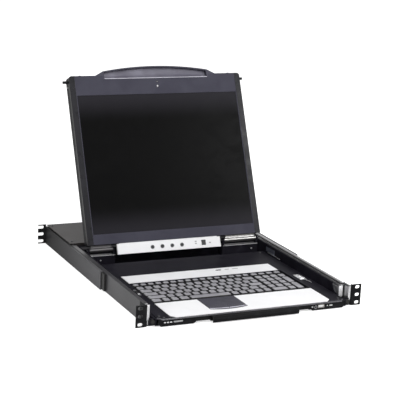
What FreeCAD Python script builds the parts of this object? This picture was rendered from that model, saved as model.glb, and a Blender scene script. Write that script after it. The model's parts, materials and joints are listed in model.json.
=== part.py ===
"""Rackmount LCD console drawer, one rack unit high, as a parametric assembly.

The frame is the rack's: +X to the right when facing the front, +Y into the rack, +Z up.
The origin is the middle of the front slot pattern, on the front plane of the mounting ears.
Heights in the spreadsheet are counted from the underside of the rack unit, except on the
display, whose pieces are drawn upright about their hinge axis and then leaned back.
"""
import FreeCAD, Part
import Sketcher
import os
import re

doc = FreeCAD.newDocument("console_drawer")
sheet = doc.addObject("Spreadsheet::Sheet", "dims")

SIZES = {
    # rack interface
    "unit_height": 44.45, "panel_width": 482.6, "ear_height": 43.0, "ear_sheet": 2.0,
    "ear_return": 34.0, "ear_reach": 22.9, "ear_bend": 4.0, "hole_inset": 8.75,
    "hole_pitch": 15.875,
    "slot_length": 10.2, "slot_width": 6.8,
    # chassis
    "chassis_depth": 584.0, "chassis_front": 3.8, "chassis_base": 0.7,
    "chassis_top": 39.8, "chassis_sheet": 1.5, "wall_return": 8.5, "return_start": 26.0,
    # telescoping rear brackets
    "sleeve_sheet": 1.6, "sleeve_front": 233.0, "sleeve_lip": 5.0, "notch_depth": 13.0,
    "notch_width": 7.0, "guide_length": 40.0, "guide_front": 216.0, "guide_thick": 4.2,
    "guide_gap": 0.3,
    # top cover
    "cover_overhang": 3.1, "cover_front": 425.0, "cover_rise": 3.4, "cover_sheet": 1.4,
    "cover_lip": 6.0,
    # drawer slides
    "slide_space": 12.7, "slide_sheet": 1.4, "slide_base": 3.6, "slide_top": 37.0,
    "slide_rear": 480.0, "slide_gap": 0.4, "outer_flange": 8.0, "middle_flange": 2.8,
    "middle_rear": 470.0, "slide_lap": 0.9, "inner_base": 9.0, "inner_top": 32.0,
    "stop_front": 24.0, "stop_base": 12.5, "stop_top": 35.0, "tab_width": 2.0, "tab_rise": 9.0,
    # drawer
    "drawer_sheet": 1.2, "drawer_front": -6.2, "drawer_rear": 455.0, "drawer_base": 3.0,
    "side_top": 36.0, "side_start": 48.0, "side_curve": 18.0, "ledge_width": 9.0,
    "deck_top": 17.0, "deck_sheet": 1.5, "deck_margin": 4.8, "deck_front": -9.0,
    "deck_chamfer": 9.0,
    "fascia_base": 1.6, "fascia_sheet": 2.8, "fascia_chamfer": 5.0, "fascia_notch": 6.5,
    "notch_outer": 127.0, "notch_back": 8.0, "notch_slope": 6.0, "grip_width": 184.0, "grip_front": -20.0,
    "grip_base": 2.8, "grip_top": 14.6, "grip_wall": 2.2, "rear_cover_top": 36.8,
    "bumper_reach": 4.8, "bumper_height": 11.0, "bumper_radius": 4.2, "bumper_length": 5.0,
    "usb_place": 146.5, "usb_height": 9.0, "usb_width": 13.4, "usb_tall": 6.0,
    "usb_depth": 16.0, "usb_wall": 0.5, "reset_place": 134.5, "reset_height": 8.0,
    "reset_radius": 2.0, "reset_travel": 0.8,
    # keyboard, palm rest and touchpad
    "keyboard_middle": -2.0, "key_pitch": 18.0, "row_pitch": 19.6, "key_gap": 2.4,
    "key_taper": 1.6, "key_height": 2.9, "key_rest": 2.4, "key_stem": 4.0, "stem_depth": 3.0,
    "stem_play": 0.3, "keys_front": 81.0, "function_depth": 14.0, "function_gap": 5.0,
    "pan_thick": 4.0, "pan_drop": 3.2, "trim_thick": 1.2, "palm_corner": 9.0,
    "strip_long": 45.0, "strip_short": 5.5, "pad_left": -84.5, "pad_width": 80.0, "pad_front": 4.5,
    "pad_bow": 7.0, "pad_gap": 0.4, "pad_sheet": 1.6, "pad_split": 25.0,
    "button_travel": 0.5, "catch_inset": 15.0, "catch_width": 14.0, "catch_front": 130.0,
    "catch_length": 34.0, "catch_thick": 2.6,
    # display hinge
    "hinge_y": 379.0, "hinge_height": 38.4, "hinge_radius": 5.1, "pin_radius": 2.5,
    "pin_gap": 0.05, "display_tilt": 24.0, "box_top": 27.7, "lug_width": 4.0,
    "lug_gap": 0.5, "box_margin": 4.2, "left_box_long": 61.0, "right_box_long": 85.5,
    # display, about its hinge axis
    "display_play": 0.4, "panel_tall": 365.5, "panel_lift": 9.1, "panel_front": -17.0,
    "panel_rear": 3.5, "bezel_depth": 6.5, "shell_wall": 1.8, "trim_wide": 13.0,
    "trim_proud": 0.3, "panel_corner": 6.5, "screen_wide": 376.3, "screen_tall": 301.0, "screen_lift": 21.5,
    "glass_gap": 0.2, "glass_inset": 0.6, "glass_depth": 5.0, "module_inset": 4.0,
    "module_depth": 4.4, "grip_half": 124.5, "grip_sink": 8.1, "grip_shoulder": 142.0,
    "grip_rise": 9.5, "grip_crown": 10.0, "grip_pocket": 10.0, "pocket_half": 121.5,
    "pocket_lip": 1.4, "pocket_rim": 2.8, "hook_drop": 11.0, "hook_radius": 3.0,
    "hook_reach": 10.4, "hook_depth": -6.0, "strip_top": 7.4, "strip_tall": 22.2,
    "strip_deep": 5.0, "button_first": -58.0, "button_pitch": 22.9, "button_height": -4.4,
    "button_radius": 3.4, "button_proud": 1.2, "button_play": 0.35, "menu_travel": 0.6,
    "press_gap": 0.3, "power_place": 62.3, "power_width": 9.2, "power_tall": 10.4,
    "power_height": -3.0,
    # rear electronics
    "supply_margin": 11.9, "supply_wide": 110.0, "supply_deep": 62.0, "supply_tall": 30.0,
    "board_left": -60.0, "board_wide": 220.0, "board_deep": 70.0, "board_rise": 5.8,
    "board_sheet": 1.6, "standoff_radius": 3.0, "inlet_place": -170.0, "inlet_wide": 27.4,
    "inlet_tall": 19.8, "inlet_deep": 24.0, "inlet_wall": 2.6, "rear_middle": 21.0,
    "switch_place": -130.0, "switch_wide": 21.0, "switch_tall": 15.0, "port_wide": 30.0,
    "port_tall": 11.0, "port_first": 0.0, "port_pitch": 44.0, "port_count": 3,
    "port_deep": 14.0, "port_wall": 1.2, "screw_head": 2.9, "head_thick": 1.3,
}

# Sizes that follow from others, so that pieces which fit together change together.
RULES = {
    "chassis_width": "panel_width - 2 * ear_reach",
    "ear_wall": "chassis_width / 2 + 0.05",
    "sleeve_outer": "chassis_width / 2 + guide_thick + guide_gap + sleeve_sheet",
    "sleeve_base": "chassis_base + 0.2",
    "sleeve_top": "chassis_top - 0.3",
    "bracket_reach": "chassis_depth + ear_sheet",
    "guide_rear": "chassis_depth - guide_length - 14",
    "cover_half": "chassis_width / 2 + cover_overhang",
    "cover_top": "chassis_top + cover_rise",
    "slide_back": "chassis_width / 2 - chassis_sheet",
    "middle_edge": "slide_back - slide_sheet - outer_flange + slide_lap",
    "drawer_half": "slide_back - slide_space",
    "drawer_floor": "drawer_base + drawer_sheet",
    "stop_outer": "slide_back - slide_sheet - tab_width - slide_gap",
    "deck_half": "drawer_half - deck_margin",
    "deck_under": "deck_top - deck_sheet",
    "fascia_half": "deck_half + 0.2",
    "fascia_face": "drawer_front - fascia_sheet",
    "bumper_place": "drawer_half + bumper_reach",
    "bumper_tab": "chassis_front - slide_sheet - 2.4",
    "deck_rear": "hinge_y - 35",
    "trim_left": "keyboard_middle - 9.5 * key_pitch",
    "trim_right": "keyboard_middle + 9.5 * key_pitch",
    "keyboard_front": "keys_front - 2.5",
    "keyboard_rear": "keys_front + 5 * row_pitch + function_gap + function_depth + 6.5",
    "pan_top": "deck_top - pan_drop",
    "pan_base": "pan_top - pan_thick",
    "trim_top": "deck_top + trim_thick",
    "palm_rear": "keys_front - 7",
    "strip_front": "keyboard_rear + 1.5",
    "pad_right": "pad_left + pad_width",
    "pad_middle": "pad_left + pad_width / 2",
    "catch_place": "trim_right + catch_inset",
    "box_front": "hinge_y - 7.5",
    "box_rear": "hinge_y + 13",
    "rear_cover_front": "hinge_y + 18",
    "box_outer": "drawer_half - box_margin",
    "left_box_inner": "left_box_long - box_outer",
    "right_box_inner": "box_outer - right_box_long",
    "panel_half": "drawer_half - drawer_sheet - display_play",
    "bezel_half": "panel_half - trim_wide",
    "panel_top": "panel_lift + panel_tall",
    "panel_split": "panel_front + bezel_depth",
    "screen_low": "panel_lift + screen_lift",
    "screen_high": "screen_low + screen_tall",
    "grip_low": "panel_top - grip_sink",
    "grip_end": "grip_half - 1",
    "grip_apex": "panel_top + grip_rise + grip_crown",
    "strip_left": "left_box_inner + 0.8",
    "strip_right": "right_box_inner - 12",
    "strip_back": "panel_front + strip_deep",
    "well_floor": "strip_back - 2",
    "chassis_floor": "chassis_base + chassis_sheet",
    "supply_left": "supply_margin - slide_back",
    "supply_front": "chassis_depth - supply_deep - inlet_deep - 8",
    "board_front": "chassis_depth - port_deep - board_deep",
    "board_rear": "chassis_depth - port_deep - 0.5",
    "board_height": "chassis_floor + board_rise",
}

for row, (alias, value) in enumerate(SIZES.items(), start=1):
    cell = "A%d" % row
    sheet.set(cell, str(value))
    sheet.setAlias(cell, alias)
doc.recompute()

WORD = re.compile(r"\b[a-z][a-z_]+\b")
LIFT = " - unit_height / 2"
NODES = {}


def tie(text):
    """Expression text with each size's name pointing at its cell, and each rule written out."""
    def point(word):
        name = word[0]
        if name in RULES:
            return "(%s)" % tie(RULES[name])
        return "dims." + name if name in SIZES else name
    return WORD.sub(point, str(text))


def bind(obj, **properties):
    """Tie properties, such as Length or Placement.Base.x written Base_x, to the sheet."""
    for name, text in properties.items():
        path = ".Placement.Base." + name[-1] if name.startswith("Base_") else name
        obj.setExpression(path, tie(text))


def number(text):
    """Present value of an expression on the sizes."""
    return float(sheet.evalExpression(tie(text)))


def box(name, xs, ys, zs, lift=LIFT):
    """Part::Box from its low and high sides along each axis."""
    block = doc.addObject("Part::Box", name)
    for prop, axis, (low, high), shift in (("Length", "x", xs, ""), ("Width", "y", ys, ""),
                                           ("Height", "z", zs, lift)):
        bind(block, **{prop: "(%s) - (%s)" % (high, low), "Base_" + axis: "%s%s" % (low, shift)})
    return block


TURNS = {"x": ((0, 1, 0), 90), "y": ((1, 0, 0), -90), "z": ((0, 0, 1), 0)}


def rod(name, axis, start, radius, length, lift=LIFT):
    """Part::Cylinder that runs from a start point along +X, +Y or +Z."""
    cylinder = doc.addObject("Part::Cylinder", name)
    turn, angle = TURNS[axis]
    cylinder.Placement = FreeCAD.Placement(FreeCAD.Vector(),
                                           FreeCAD.Rotation(FreeCAD.Vector(*turn), angle))
    x, y, z = start
    bind(cylinder, Radius=radius, Height=length, Base_x=x, Base_y=y, Base_z="%s%s" % (z, lift))
    return cylinder


def fuse(name, *parts):
    joined = doc.addObject("Part::MultiFuse", name)
    joined.Shapes = list(parts)
    joined.Refine = True
    return joined


def cut(name, base, *tools):
    tool = tools[0] if len(tools) == 1 else group(name + "_tools", *tools)
    result = doc.addObject("Part::Cut", name)
    result.Base = base
    result.Tool = tool
    return result


def group(name, *parts):
    """Several separate solids held as one object."""
    compound = doc.addObject("Part::Compound", name)
    compound.Links = list(parts)
    return compound


def node(label, obj):
    """Register a finished sub-part under the name of its file."""
    obj.Label = label
    NODES[label] = obj
    return obj


def lean(label, obj):
    """Register a display piece: its own upright axes turn back about the hinge."""
    obj.Placement = FreeCAD.Placement(FreeCAD.Vector(),
                                      FreeCAD.Rotation(FreeCAD.Vector(1, 0, 0), -1))
    bind(obj, Base_y="hinge_y", Base_z="hinge_height" + LIFT)
    obj.setExpression(".Placement.Rotation.Angle", tie("-display_tilt"))
    return node(label, obj)


def origin_plane(body, role):
    return next(item for item in body.Origin.OriginFeatures if item.Role == role)


def outline(body, name, plane, corners):
    """Closed sketch of straight lines, each corner dimensioned from the origin."""
    sketch = body.newObject("Sketcher::SketchObject", name)
    sketch.AttachmentSupport = [(origin_plane(body, plane), "")]
    sketch.MapMode = "FlatFace"
    places = [[number(text) for text in corner] for corner in corners]
    count = len(corners)
    for index in range(count):
        start, end = places[index], places[(index + 1) % count]
        sketch.addGeometry(Part.LineSegment(FreeCAD.Vector(*start, 0), FreeCAD.Vector(*end, 0)),
                           False)
    for index in range(count):
        sketch.addConstraint(Sketcher.Constraint("Coincident", index, 2, (index + 1) % count, 1))
    for index in range(count):
        for kind, place, text in zip(("DistanceX", "DistanceY"), places[index], corners[index]):
            rule = sketch.addConstraint(Sketcher.Constraint(kind, -1, 1, index, 1, place))
            sketch.setExpression("Constraints[%d]" % rule, tie(text))
    return sketch


def pad(name, plane, corners, depth, **place):
    """PartDesign body: an outline padded by depth, then placed."""
    body = doc.addObject("PartDesign::Body", name)
    sketch = outline(body, name + "_outline", plane, corners)
    feature = body.newObject("PartDesign::Pad", name + "_pad")
    feature.Profile = sketch
    bind(feature, Length=depth)
    if place:
        bind(body, **place)
    return body


def pocket(body, name, plane, corners, depth, reverse):
    """Cut an outline out of a body, and check that it takes material away."""
    doc.recompute()
    before = body.Shape.Volume
    sketch = outline(body, name + "_outline", plane, corners)
    feature = body.newObject("PartDesign::Pocket", name)
    feature.Profile = sketch
    feature.Reversed = reverse
    bind(feature, Length=depth)
    doc.recompute()
    if body.Shape.Volume > before - 1:
        raise ValueError(name + " cuts nothing")
    return feature


def rounded(name, base, direction, radius, keep=lambda edge: True):
    """Fillet the straight edges of a body that run along one direction."""
    doc.recompute()
    axis = FreeCAD.Vector(*direction)
    chosen = [index for index, edge in enumerate(base.Shape.Edges, start=1)
              if edge.Curve.TypeId == "Part::GeomLine"
              and abs(edge.Curve.Direction.dot(axis)) > 0.999 and keep(edge)]
    fillet = doc.addObject("Part::Fillet", name)
    fillet.Base = base
    fillet.Edges = [(index, radius, radius) for index in chosen]
    return fillet


def side(sign, inner, outer):
    """Low and high X of a piece that lies from inner to outer on one side."""
    return (inner, outer) if sign > 0 else ("-(%s)" % outer, "-(%s)" % inner)


def rectangle(x0, x1, y0, y1):
    return [(x0, y0), (x1, y0), (x1, y1), (x0, y1)]


SIDES = (("left", -1), ("right", 1))

# ---------------------------------------------------------------- chassis


def chassis_tray():
    """Floor, side walls with inward returns, open at the front and rear."""
    half = "chassis_width / 2"
    depth = ("chassis_front", "chassis_depth - chassis_sheet")
    parts = [box("chassis_floor_plate", ("-" + half, half), depth,
                 ("chassis_base", "chassis_floor"))]
    for word, sign in SIDES:
        parts.append(box(word + "_wall", side(sign, half + " - chassis_sheet", half), depth,
                         ("chassis_base", "chassis_top")))
        parts.append(box(word + "_wall_return", side(sign, half + " - wall_return", half),
                         ("return_start", depth[1]),
                         ("chassis_top - chassis_sheet", "chassis_top")))
    node("chassis_tray", fuse("chassis_tray", *parts))


def ears():
    """Front mounting angles, each with three slots for rack screws."""
    for word, sign in SIDES:
        tip, flank = "panel_width / 2", "ear_wall + ear_sheet"
        corners = [("ear_wall", "ear_return"), ("ear_wall", "0"), (tip, "0"),
                   (tip, "ear_sheet"), (flank, "ear_sheet"), (flank, "ear_return")]
        corners = [("%d * (%s)" % (sign, x), y) for x, y in corners]
        body = pad(word + "_ear_angle", "XY_Plane", corners, "ear_height",
                   Base_z="-ear_height / 2")
        bend = rounded(word + "_ear_bend", body, (0, 0, 1), number("ear_bend"),
                       lambda edge: edge.BoundBox.YMax < 0.01
                       and abs(edge.BoundBox.XMax) < number("ear_wall") + 1)
        slots = []
        for step in (-1, 0, 1):
            middle = "%d * (panel_width / 2 - hole_inset)" % sign
            level = "%d * hole_pitch" % step
            reach = "(slot_length - slot_width) / 2"
            name = "%s_slot_%d" % (word, step + 2)
            slots.append(box(name, (middle + " - " + reach, middle + " + " + reach),
                             ("-1", "ear_sheet + 1"),
                             (level + " - slot_width / 2", level + " + slot_width / 2"), ""))
            for end, way in (("in", "-"), ("out", "+")):
                slots.append(rod(name + "_" + end, "y", (middle + way + reach, "-1", level),
                                 "slot_width / 2", "ear_sheet + 2", ""))
        slots.append(box(word + "_ear_relief", side(sign, "ear_wall - 1", flank + " + 0.01"),
                         ("ear_sheet + 2", "ear_return + 1"), ("chassis_top", "unit_height")))
        node(word + "_ear", cut(word + "_ear", bend, fuse(word + "_ear_cuts", *slots)))


def rear_brackets():
    """Sleeves that telescope along the chassis walls and end in an outward flange."""
    for word, sign in SIDES:
        outer = "sleeve_outer"
        run = ("sleeve_front", "bracket_reach")
        web = box(word + "_sleeve_web", side(sign, outer + " - sleeve_sheet", outer), run,
                  ("sleeve_base", "sleeve_top"))
        lips = [box(word + "_sleeve_" + name, side(sign, outer + " - sleeve_lip", outer),
                    ("sleeve_front", "bracket_reach - ear_sheet"), level)
                for name, level in (("lower_lip", ("sleeve_base", "sleeve_base + sleeve_sheet")),
                                    ("upper_lip", ("sleeve_top - sleeve_sheet", "sleeve_top")))]
        flange = box(word + "_rear_flange", side(sign, outer + " - sleeve_sheet",
                                                 "panel_width / 2"),
                     ("bracket_reach - ear_sheet", "bracket_reach"),
                     ("-ear_height / 2", "ear_height / 2"), "")
        notches = []
        for step in (-1, 0, 1):
            level = "%d * hole_pitch" % step
            inner = "(panel_width / 2 - notch_depth + notch_width / 2)"
            name = "%s_notch_%d" % (word, step + 2)
            notches.append(box(name, side(sign, inner, "panel_width / 2 + 1"),
                               ("bracket_reach - ear_sheet - 1", "bracket_reach + 1"),
                               (level + " - notch_width / 2", level + " + notch_width / 2"), ""))
            notches.append(rod(name + "_end", "y",
                               ("%d * %s" % (sign, inner), "bracket_reach - ear_sheet - 1",
                                level), "notch_width / 2", "ear_sheet + 2", ""))
        plate = cut(word + "_notched_flange", flange, fuse(word + "_notches", *notches))
        node(word + "_rear_bracket", fuse(word + "_rear_bracket", web, plate, *lips))


def bracket_guides():
    """Glides on the chassis walls that the sleeves run over, two on each side."""
    blocks = []
    for word, sign in SIDES:
        for end in ("front", "rear"):
            start = "guide_" + end
            blocks.append(box("%s_%s_guide" % (word, end),
                              side(sign, "chassis_width / 2",
                                   "chassis_width / 2 + guide_thick"),
                              (start, start + " + guide_length"),
                              ("sleeve_base + sleeve_sheet + guide_gap",
                               "sleeve_top - sleeve_sheet - guide_gap")))
    node("bracket_guides", group("bracket_guides", *blocks))


def top_cover():
    """Cover over the rear electronics, on hems that rest on the wall returns."""
    half = "cover_half"
    run = ("cover_front", "chassis_depth")
    under = "cover_top - cover_sheet"
    parts = [box("cover_plate", ("-" + half, half), run, (under, "cover_top")),
             box("cover_front_lip", ("-chassis_width / 2 + wall_return + 1",
                                     "chassis_width / 2 - wall_return - 1"),
                 ("cover_front", "cover_front + cover_sheet"),
                 ("cover_top - cover_lip", "cover_top"))]
    for word, sign in SIDES:
        parts.append(box(word + "_cover_hem",
                         side(sign, "chassis_width / 2 - wall_return", "chassis_width / 2"), run,
                         ("chassis_top", "cover_top")))
    node("top_cover", fuse("top_cover", *parts))


def rear_panel():
    """Rear wall with the openings for the mains inlet, its switch and the ports."""
    reach = "slide_back - wall_return"
    wall = ("chassis_depth - chassis_sheet", "chassis_depth")
    plate = fuse("rear_plate",
                 box("rear_plate_main", ("-chassis_width / 2", "chassis_width / 2"), wall,
                     ("chassis_base", "chassis_top")),
                 box("rear_plate_upper", ("-(%s)" % reach, reach), wall,
                     ("chassis_top - 1", "cover_top - cover_sheet")))
    through = ("chassis_depth - chassis_sheet - 1", "chassis_depth + 1")
    openings = [window("inlet_opening", "inlet_place", "inlet_wide", "inlet_tall", through),
                window("switch_opening", "switch_place", "switch_wide", "switch_tall", through)]
    for index in range(int(number("port_count"))):
        openings.append(window("port_opening_%d" % (index + 1),
                               "(port_first + %d * port_pitch)" % index, "port_wide",
                               "port_tall", through))
    node("rear_panel", cut("rear_panel", plate, *openings))


def window(name, place, wide, tall, ys, gap="0", tall_gap=None):
    """Block about a place on the rear panel, smaller all round by a gap."""
    rise = gap if tall_gap is None else tall_gap
    return box(name, ("%s - %s / 2 + %s" % (place, wide, gap),
                      "%s + %s / 2 - %s" % (place, wide, gap)), ys,
               ("rear_middle - %s / 2 + %s" % (tall, rise),
                "rear_middle + %s / 2 - %s" % (tall, rise)))


def rear_connections():
    """Mains inlet with three blades, rocker switch in its frame, and the ports."""
    depth = ("chassis_depth - inlet_deep", "chassis_depth + 1.2")
    shell = window("inlet_body", "inlet_place", "inlet_wide", "inlet_tall", depth)
    socket = window("inlet_socket", "inlet_place", "inlet_wide", "inlet_tall",
                    ("chassis_depth - inlet_deep + 5", "chassis_depth + 2"), "inlet_wall")
    blades = [box("inlet_blade_%d" % (step + 2),
                  ("inlet_place + %d * 7 - 1" % step, "inlet_place + %d * 7 + 1" % step),
                  ("chassis_depth - inlet_deep + 4", "chassis_depth - 5"),
                  ("rear_middle + %d" % low, "rear_middle + %d" % (low + 5)))
              for step, low in ((-1, -4), (0, 0), (1, -4))]
    node("power_inlet", fuse("power_inlet", cut("inlet_shell", shell, socket), *blades))

    rocker = window("rocker_body", "switch_place", "switch_wide", "switch_tall",
                    ("chassis_depth - 5", "chassis_depth"), "1.4", "0.4")
    crown = rod("rocker_crown", "z", ("switch_place", "chassis_depth - 6",
                                      "rear_middle - switch_tall / 2 + 0.4"),
                "switch_wide / 2 - 1.8", "switch_tall - 0.8")
    node("power_switch", fuse("power_switch", rocker, crown))

    ports = []
    for index in range(int(number("port_count"))):
        place = "(port_first + %d * port_pitch)" % index
        name = "port_%d" % (index + 1)
        ports.append(cut(name, window(name + "_shell", place, "port_wide", "port_tall",
                                      ("chassis_depth - port_deep", "chassis_depth + 0.8")),
                         window(name + "_mouth", place, "port_wide", "port_tall",
                                ("chassis_depth - port_deep + 4", "chassis_depth + 2"),
                                "port_wall")))
    node("rear_ports", group("rear_ports", *ports))


def electronics():
    """Power supply can and the controller board on its standoffs."""
    node("power_supply", box("power_supply", ("supply_left", "supply_left + supply_wide"),
                             ("supply_front", "supply_front + supply_deep"),
                             ("chassis_floor", "chassis_floor + supply_tall")))
    left, right = "board_left", "board_left + board_wide"
    parts = [box("board_plate", (left, right), ("board_front", "board_rear"),
                 ("board_height", "board_height + board_sheet"))]
    for index, (x, y) in enumerate(((left + " + 8", "board_front + 8"),
                                    (right + " - 8", "board_front + 8"),
                                    (left + " + 8", "board_rear - 8"),
                                    (right + " - 8", "board_rear - 8"))):
        parts.append(rod("board_standoff_%d" % index, "z", (x, y, "chassis_floor"),
                         "standoff_radius", "board_rise"))
    for index in range(int(number("port_count"))):
        place = "(port_first + %d * port_pitch)" % index
        parts.append(box("board_chip_%d" % index, (place + " - 9", place + " + 9"),
                         ("board_front + 16", "board_front + 34"),
                         ("board_height", "board_height + board_sheet + 2")))
    node("controller_board", fuse("controller_board", *parts))


def outer_slides():
    """Fixed channels of the telescoping slides, on the insides of the chassis walls."""
    for word, sign in SIDES:
        web = box(word + "_outer_web", side(sign, "slide_back - slide_sheet", "slide_back"),
                  ("chassis_front", "slide_rear"), ("slide_base", "slide_top"))
        flanges = [box("%s_outer_flange_%s" % (word, name),
                       side(sign, "slide_back - slide_sheet - outer_flange", "slide_back"),
                       ("return_start", "slide_rear"), level)
                   for name, level in (("lower", ("slide_base", "slide_base + slide_sheet")),
                                       ("upper", ("slide_top - slide_sheet", "slide_top")))]
        tab = box(word + "_outer_tab", side(sign, "slide_back - slide_sheet - tab_width",
                                            "chassis_width / 2"),
                  ("chassis_front - slide_sheet", "chassis_front"),
                  ("slide_base + tab_rise", "slide_top + 2.4"))
        node(word + "_outer_slide", fuse(word + "_outer_slide", web, tab, *flanges))


def middle_slides():
    """Intermediate members, which travel half as far as the drawer."""
    low = "slide_base + slide_sheet + slide_gap"
    high = "slide_top - slide_sheet - slide_gap"
    run = ("stop_front + slide_sheet + slide_gap", "middle_rear")
    for word, sign in SIDES:
        parts = [box(word + "_middle_web",
                     side(sign, "middle_edge + middle_flange - slide_sheet",
                          "middle_edge + middle_flange"), run, (low, high))]
        for name, level in (("lower", (low, low + " + slide_sheet")),
                            ("upper", (high + " - slide_sheet", high))):
            parts.append(box("%s_middle_flange_%s" % (word, name),
                             side(sign, "middle_edge",
                                  "middle_edge + 2 * middle_flange - slide_sheet"), run, level))
        node(word + "_middle_slide", fuse(word + "_middle_slide", *parts))


def inner_slides():
    """Members screwed to the drawer's sides, each with a bent stop at the front."""
    run = ("stop_front", "drawer_rear")
    for word, sign in SIDES:
        parts = [box(word + "_inner_web", side(sign, "drawer_half", "drawer_half + slide_sheet"),
                     run, ("inner_base", "inner_top")),
                 box(word + "_inner_stop", side(sign, "drawer_half", "stop_outer"),
                     ("stop_front", "stop_front + slide_sheet"), ("stop_base", "stop_top"))]
        for name, level in (("lower", ("inner_base", "inner_base + slide_sheet")),
                            ("upper", ("inner_top - slide_sheet", "inner_top"))):
            parts.append(box("%s_inner_flange_%s" % (word, name),
                             side(sign, "drawer_half", "middle_edge - slide_gap"), run, level))
        node(word + "_inner_slide", fuse(word + "_inner_slide", *parts))


# ---------------------------------------------------------------- drawer


def usb_block(name, inset, ys):
    """Block at the front USB socket's place, smaller all round by an inset."""
    return box(name, ("usb_place - usb_width / 2 + " + inset,
                      "usb_place + usb_width / 2 - (%s)" % inset), ys,
               ("usb_height - usb_tall / 2 + " + inset,
                "usb_height + usb_tall / 2 - (%s)" % inset))


def drawer_tray():
    """Drawer floor and walls; the sides step down with a curve near the front."""
    front = box("drawer_front_wall", ("-deck_half", "deck_half"),
                ("drawer_front", "drawer_front + drawer_sheet"), ("drawer_base", "deck_under"))
    parts = [box("drawer_floor_plate", ("-drawer_half", "drawer_half"),
                 ("drawer_front", "drawer_rear"), ("drawer_base", "drawer_floor")),
             cut("drawer_front_cut", front,
                 usb_block("drawer_usb_opening", "0", ("drawer_front - 1", "0"))),
             box("drawer_rear_wall", ("-drawer_half", "drawer_half"),
                 ("drawer_rear - drawer_sheet", "drawer_rear"), ("drawer_base", "side_top"))]
    for word, sign in SIDES:
        across = side(sign, "drawer_half - drawer_sheet", "drawer_half")
        low = "side_start - side_curve"
        wall = fuse(word + "_drawer_wall",
                    box(word + "_drawer_wall_low", across, ("drawer_front", "drawer_rear"),
                        ("drawer_base", "deck_under")),
                    box(word + "_drawer_wall_high", across, (low, "drawer_rear"),
                        ("drawer_base", "side_top")))
        curve = rod(word + "_drawer_wall_curve", "x", (across[0] + " - 1", low, "side_top"),
                    "side_curve", "drawer_sheet + 2")
        parts.append(cut(word + "_drawer_side", wall, curve))
        parts.append(box(word + "_drawer_ledge",
                         side(sign, "drawer_half - ledge_width", "drawer_half"),
                         ("drawer_front", "deck_rear"),
                         ("deck_under - drawer_sheet", "deck_under")))
        parts.append(box(word + "_bumper_tab",
                         side(sign, "drawer_half - drawer_sheet",
                              "bumper_place + bumper_radius + 1"),
                         ("bumper_tab", "bumper_tab + drawer_sheet + 0.2"),
                         ("drawer_base + 1.5", "deck_top")))
    fingers = [box(word + "_finger_notch",
                   side(sign, "grip_width / 2", "notch_outer - notch_slope"),
                   ("drawer_front - 1", "notch_back"), ("drawer_base - 1", "fascia_notch"))
               for word, sign in SIDES]
    node("drawer_tray", cut("drawer_tray", fuse("drawer_tray_blank", *parts), *fingers))


def front_bumpers():
    """Round rubber bumpers on the tray's side tabs."""
    node("front_bumpers", group("front_bumpers", *[
        rod(word + "_bumper", "y", ("%d * bumper_place" % sign, "bumper_tab - bumper_length",
                                    "bumper_height"), "bumper_radius", "bumper_length")
        for word, sign in SIDES]))


def keyboard_deck():
    """Deck plate with chamfered front corners and an opening for the keyboard."""
    right = [("deck_half", "deck_rear"), ("deck_half", "deck_front + deck_chamfer"),
             ("deck_half - deck_chamfer", "deck_front")]
    left = [("-(%s)" % x, y) for x, y in reversed(right)]
    plate = pad("deck_plate", "XY_Plane", right + left, "deck_sheet",
                Base_z="deck_under" + LIFT)
    pocket(plate, "keyboard_opening", "XY_Plane",
           rectangle("trim_left", "trim_right", "keyboard_front", "keyboard_rear"),
           "deck_sheet", True)
    node("keyboard_deck", plate)


def front_fascia():
    """Front face, notched on both sides of the pull, with a USB and a reset opening."""
    right = [("grip_width / 2", "fascia_notch"), ("notch_outer - notch_slope", "fascia_notch"),
             ("notch_outer", "fascia_base"), ("fascia_half - fascia_chamfer", "fascia_base"),
             ("fascia_half", "fascia_base + fascia_chamfer"), ("fascia_half", "deck_under")]
    left = [("-(%s)" % x, z) for x, z in reversed(right)]
    grip = [("-grip_width / 2", "grip_base"), ("grip_width / 2", "grip_base")]
    plate = pad("fascia_plate", "XZ_Plane", left + grip + right, "fascia_sheet",
                Base_y="drawer_front", Base_z="0" + LIFT)
    through = ("fascia_face - 1", "drawer_front + 1")
    usb = usb_block("usb_opening", "0", through)
    reset = rod("reset_opening", "y", ("reset_place", through[0], "reset_height"),
                "reset_radius + button_play", "fascia_sheet + 2")
    node("front_fascia", cut("front_fascia", plate, usb, reset))


def front_handle():
    """Pull along the middle of the fascia, hooked downwards for the fingers."""
    corners = [("fascia_face", "grip_top"), ("fascia_face", "grip_top - grip_wall"),
               ("grip_front + grip_wall + 1.5", "grip_top - grip_wall - 2.4"),
               ("grip_front + grip_wall", "grip_base"), ("grip_front", "grip_base"),
               ("grip_front", "grip_top - 5"), ("grip_front + 3.5", "grip_top - 1.2")]
    node("front_handle", pad("front_handle", "YZ_Plane", corners, "grip_width",
                             Base_x="-grip_width / 2", Base_z="0" + LIFT))


def palm_rest():
    """White rest round the touchpad, whose front edge is bowed."""
    low, high = "trim_left + palm_corner", "trim_right - palm_corner"
    corners = [("trim_left", "palm_rear"), ("trim_left", "deck_front + palm_corner"),
               (low, "deck_front"), (high, "deck_front"),
               ("trim_right", "deck_front + palm_corner"), ("trim_right", "palm_rear")]
    plate = pad("palm_plate", "XY_Plane", corners, "trim_thick", Base_z="deck_top" + LIFT)
    space = pad_shape("pad_opening", "0", ("deck_top - 1", "trim_top + 1"), "palm_rear + 1")
    node("palm_rest", cut("palm_rest", plate, space))


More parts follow.
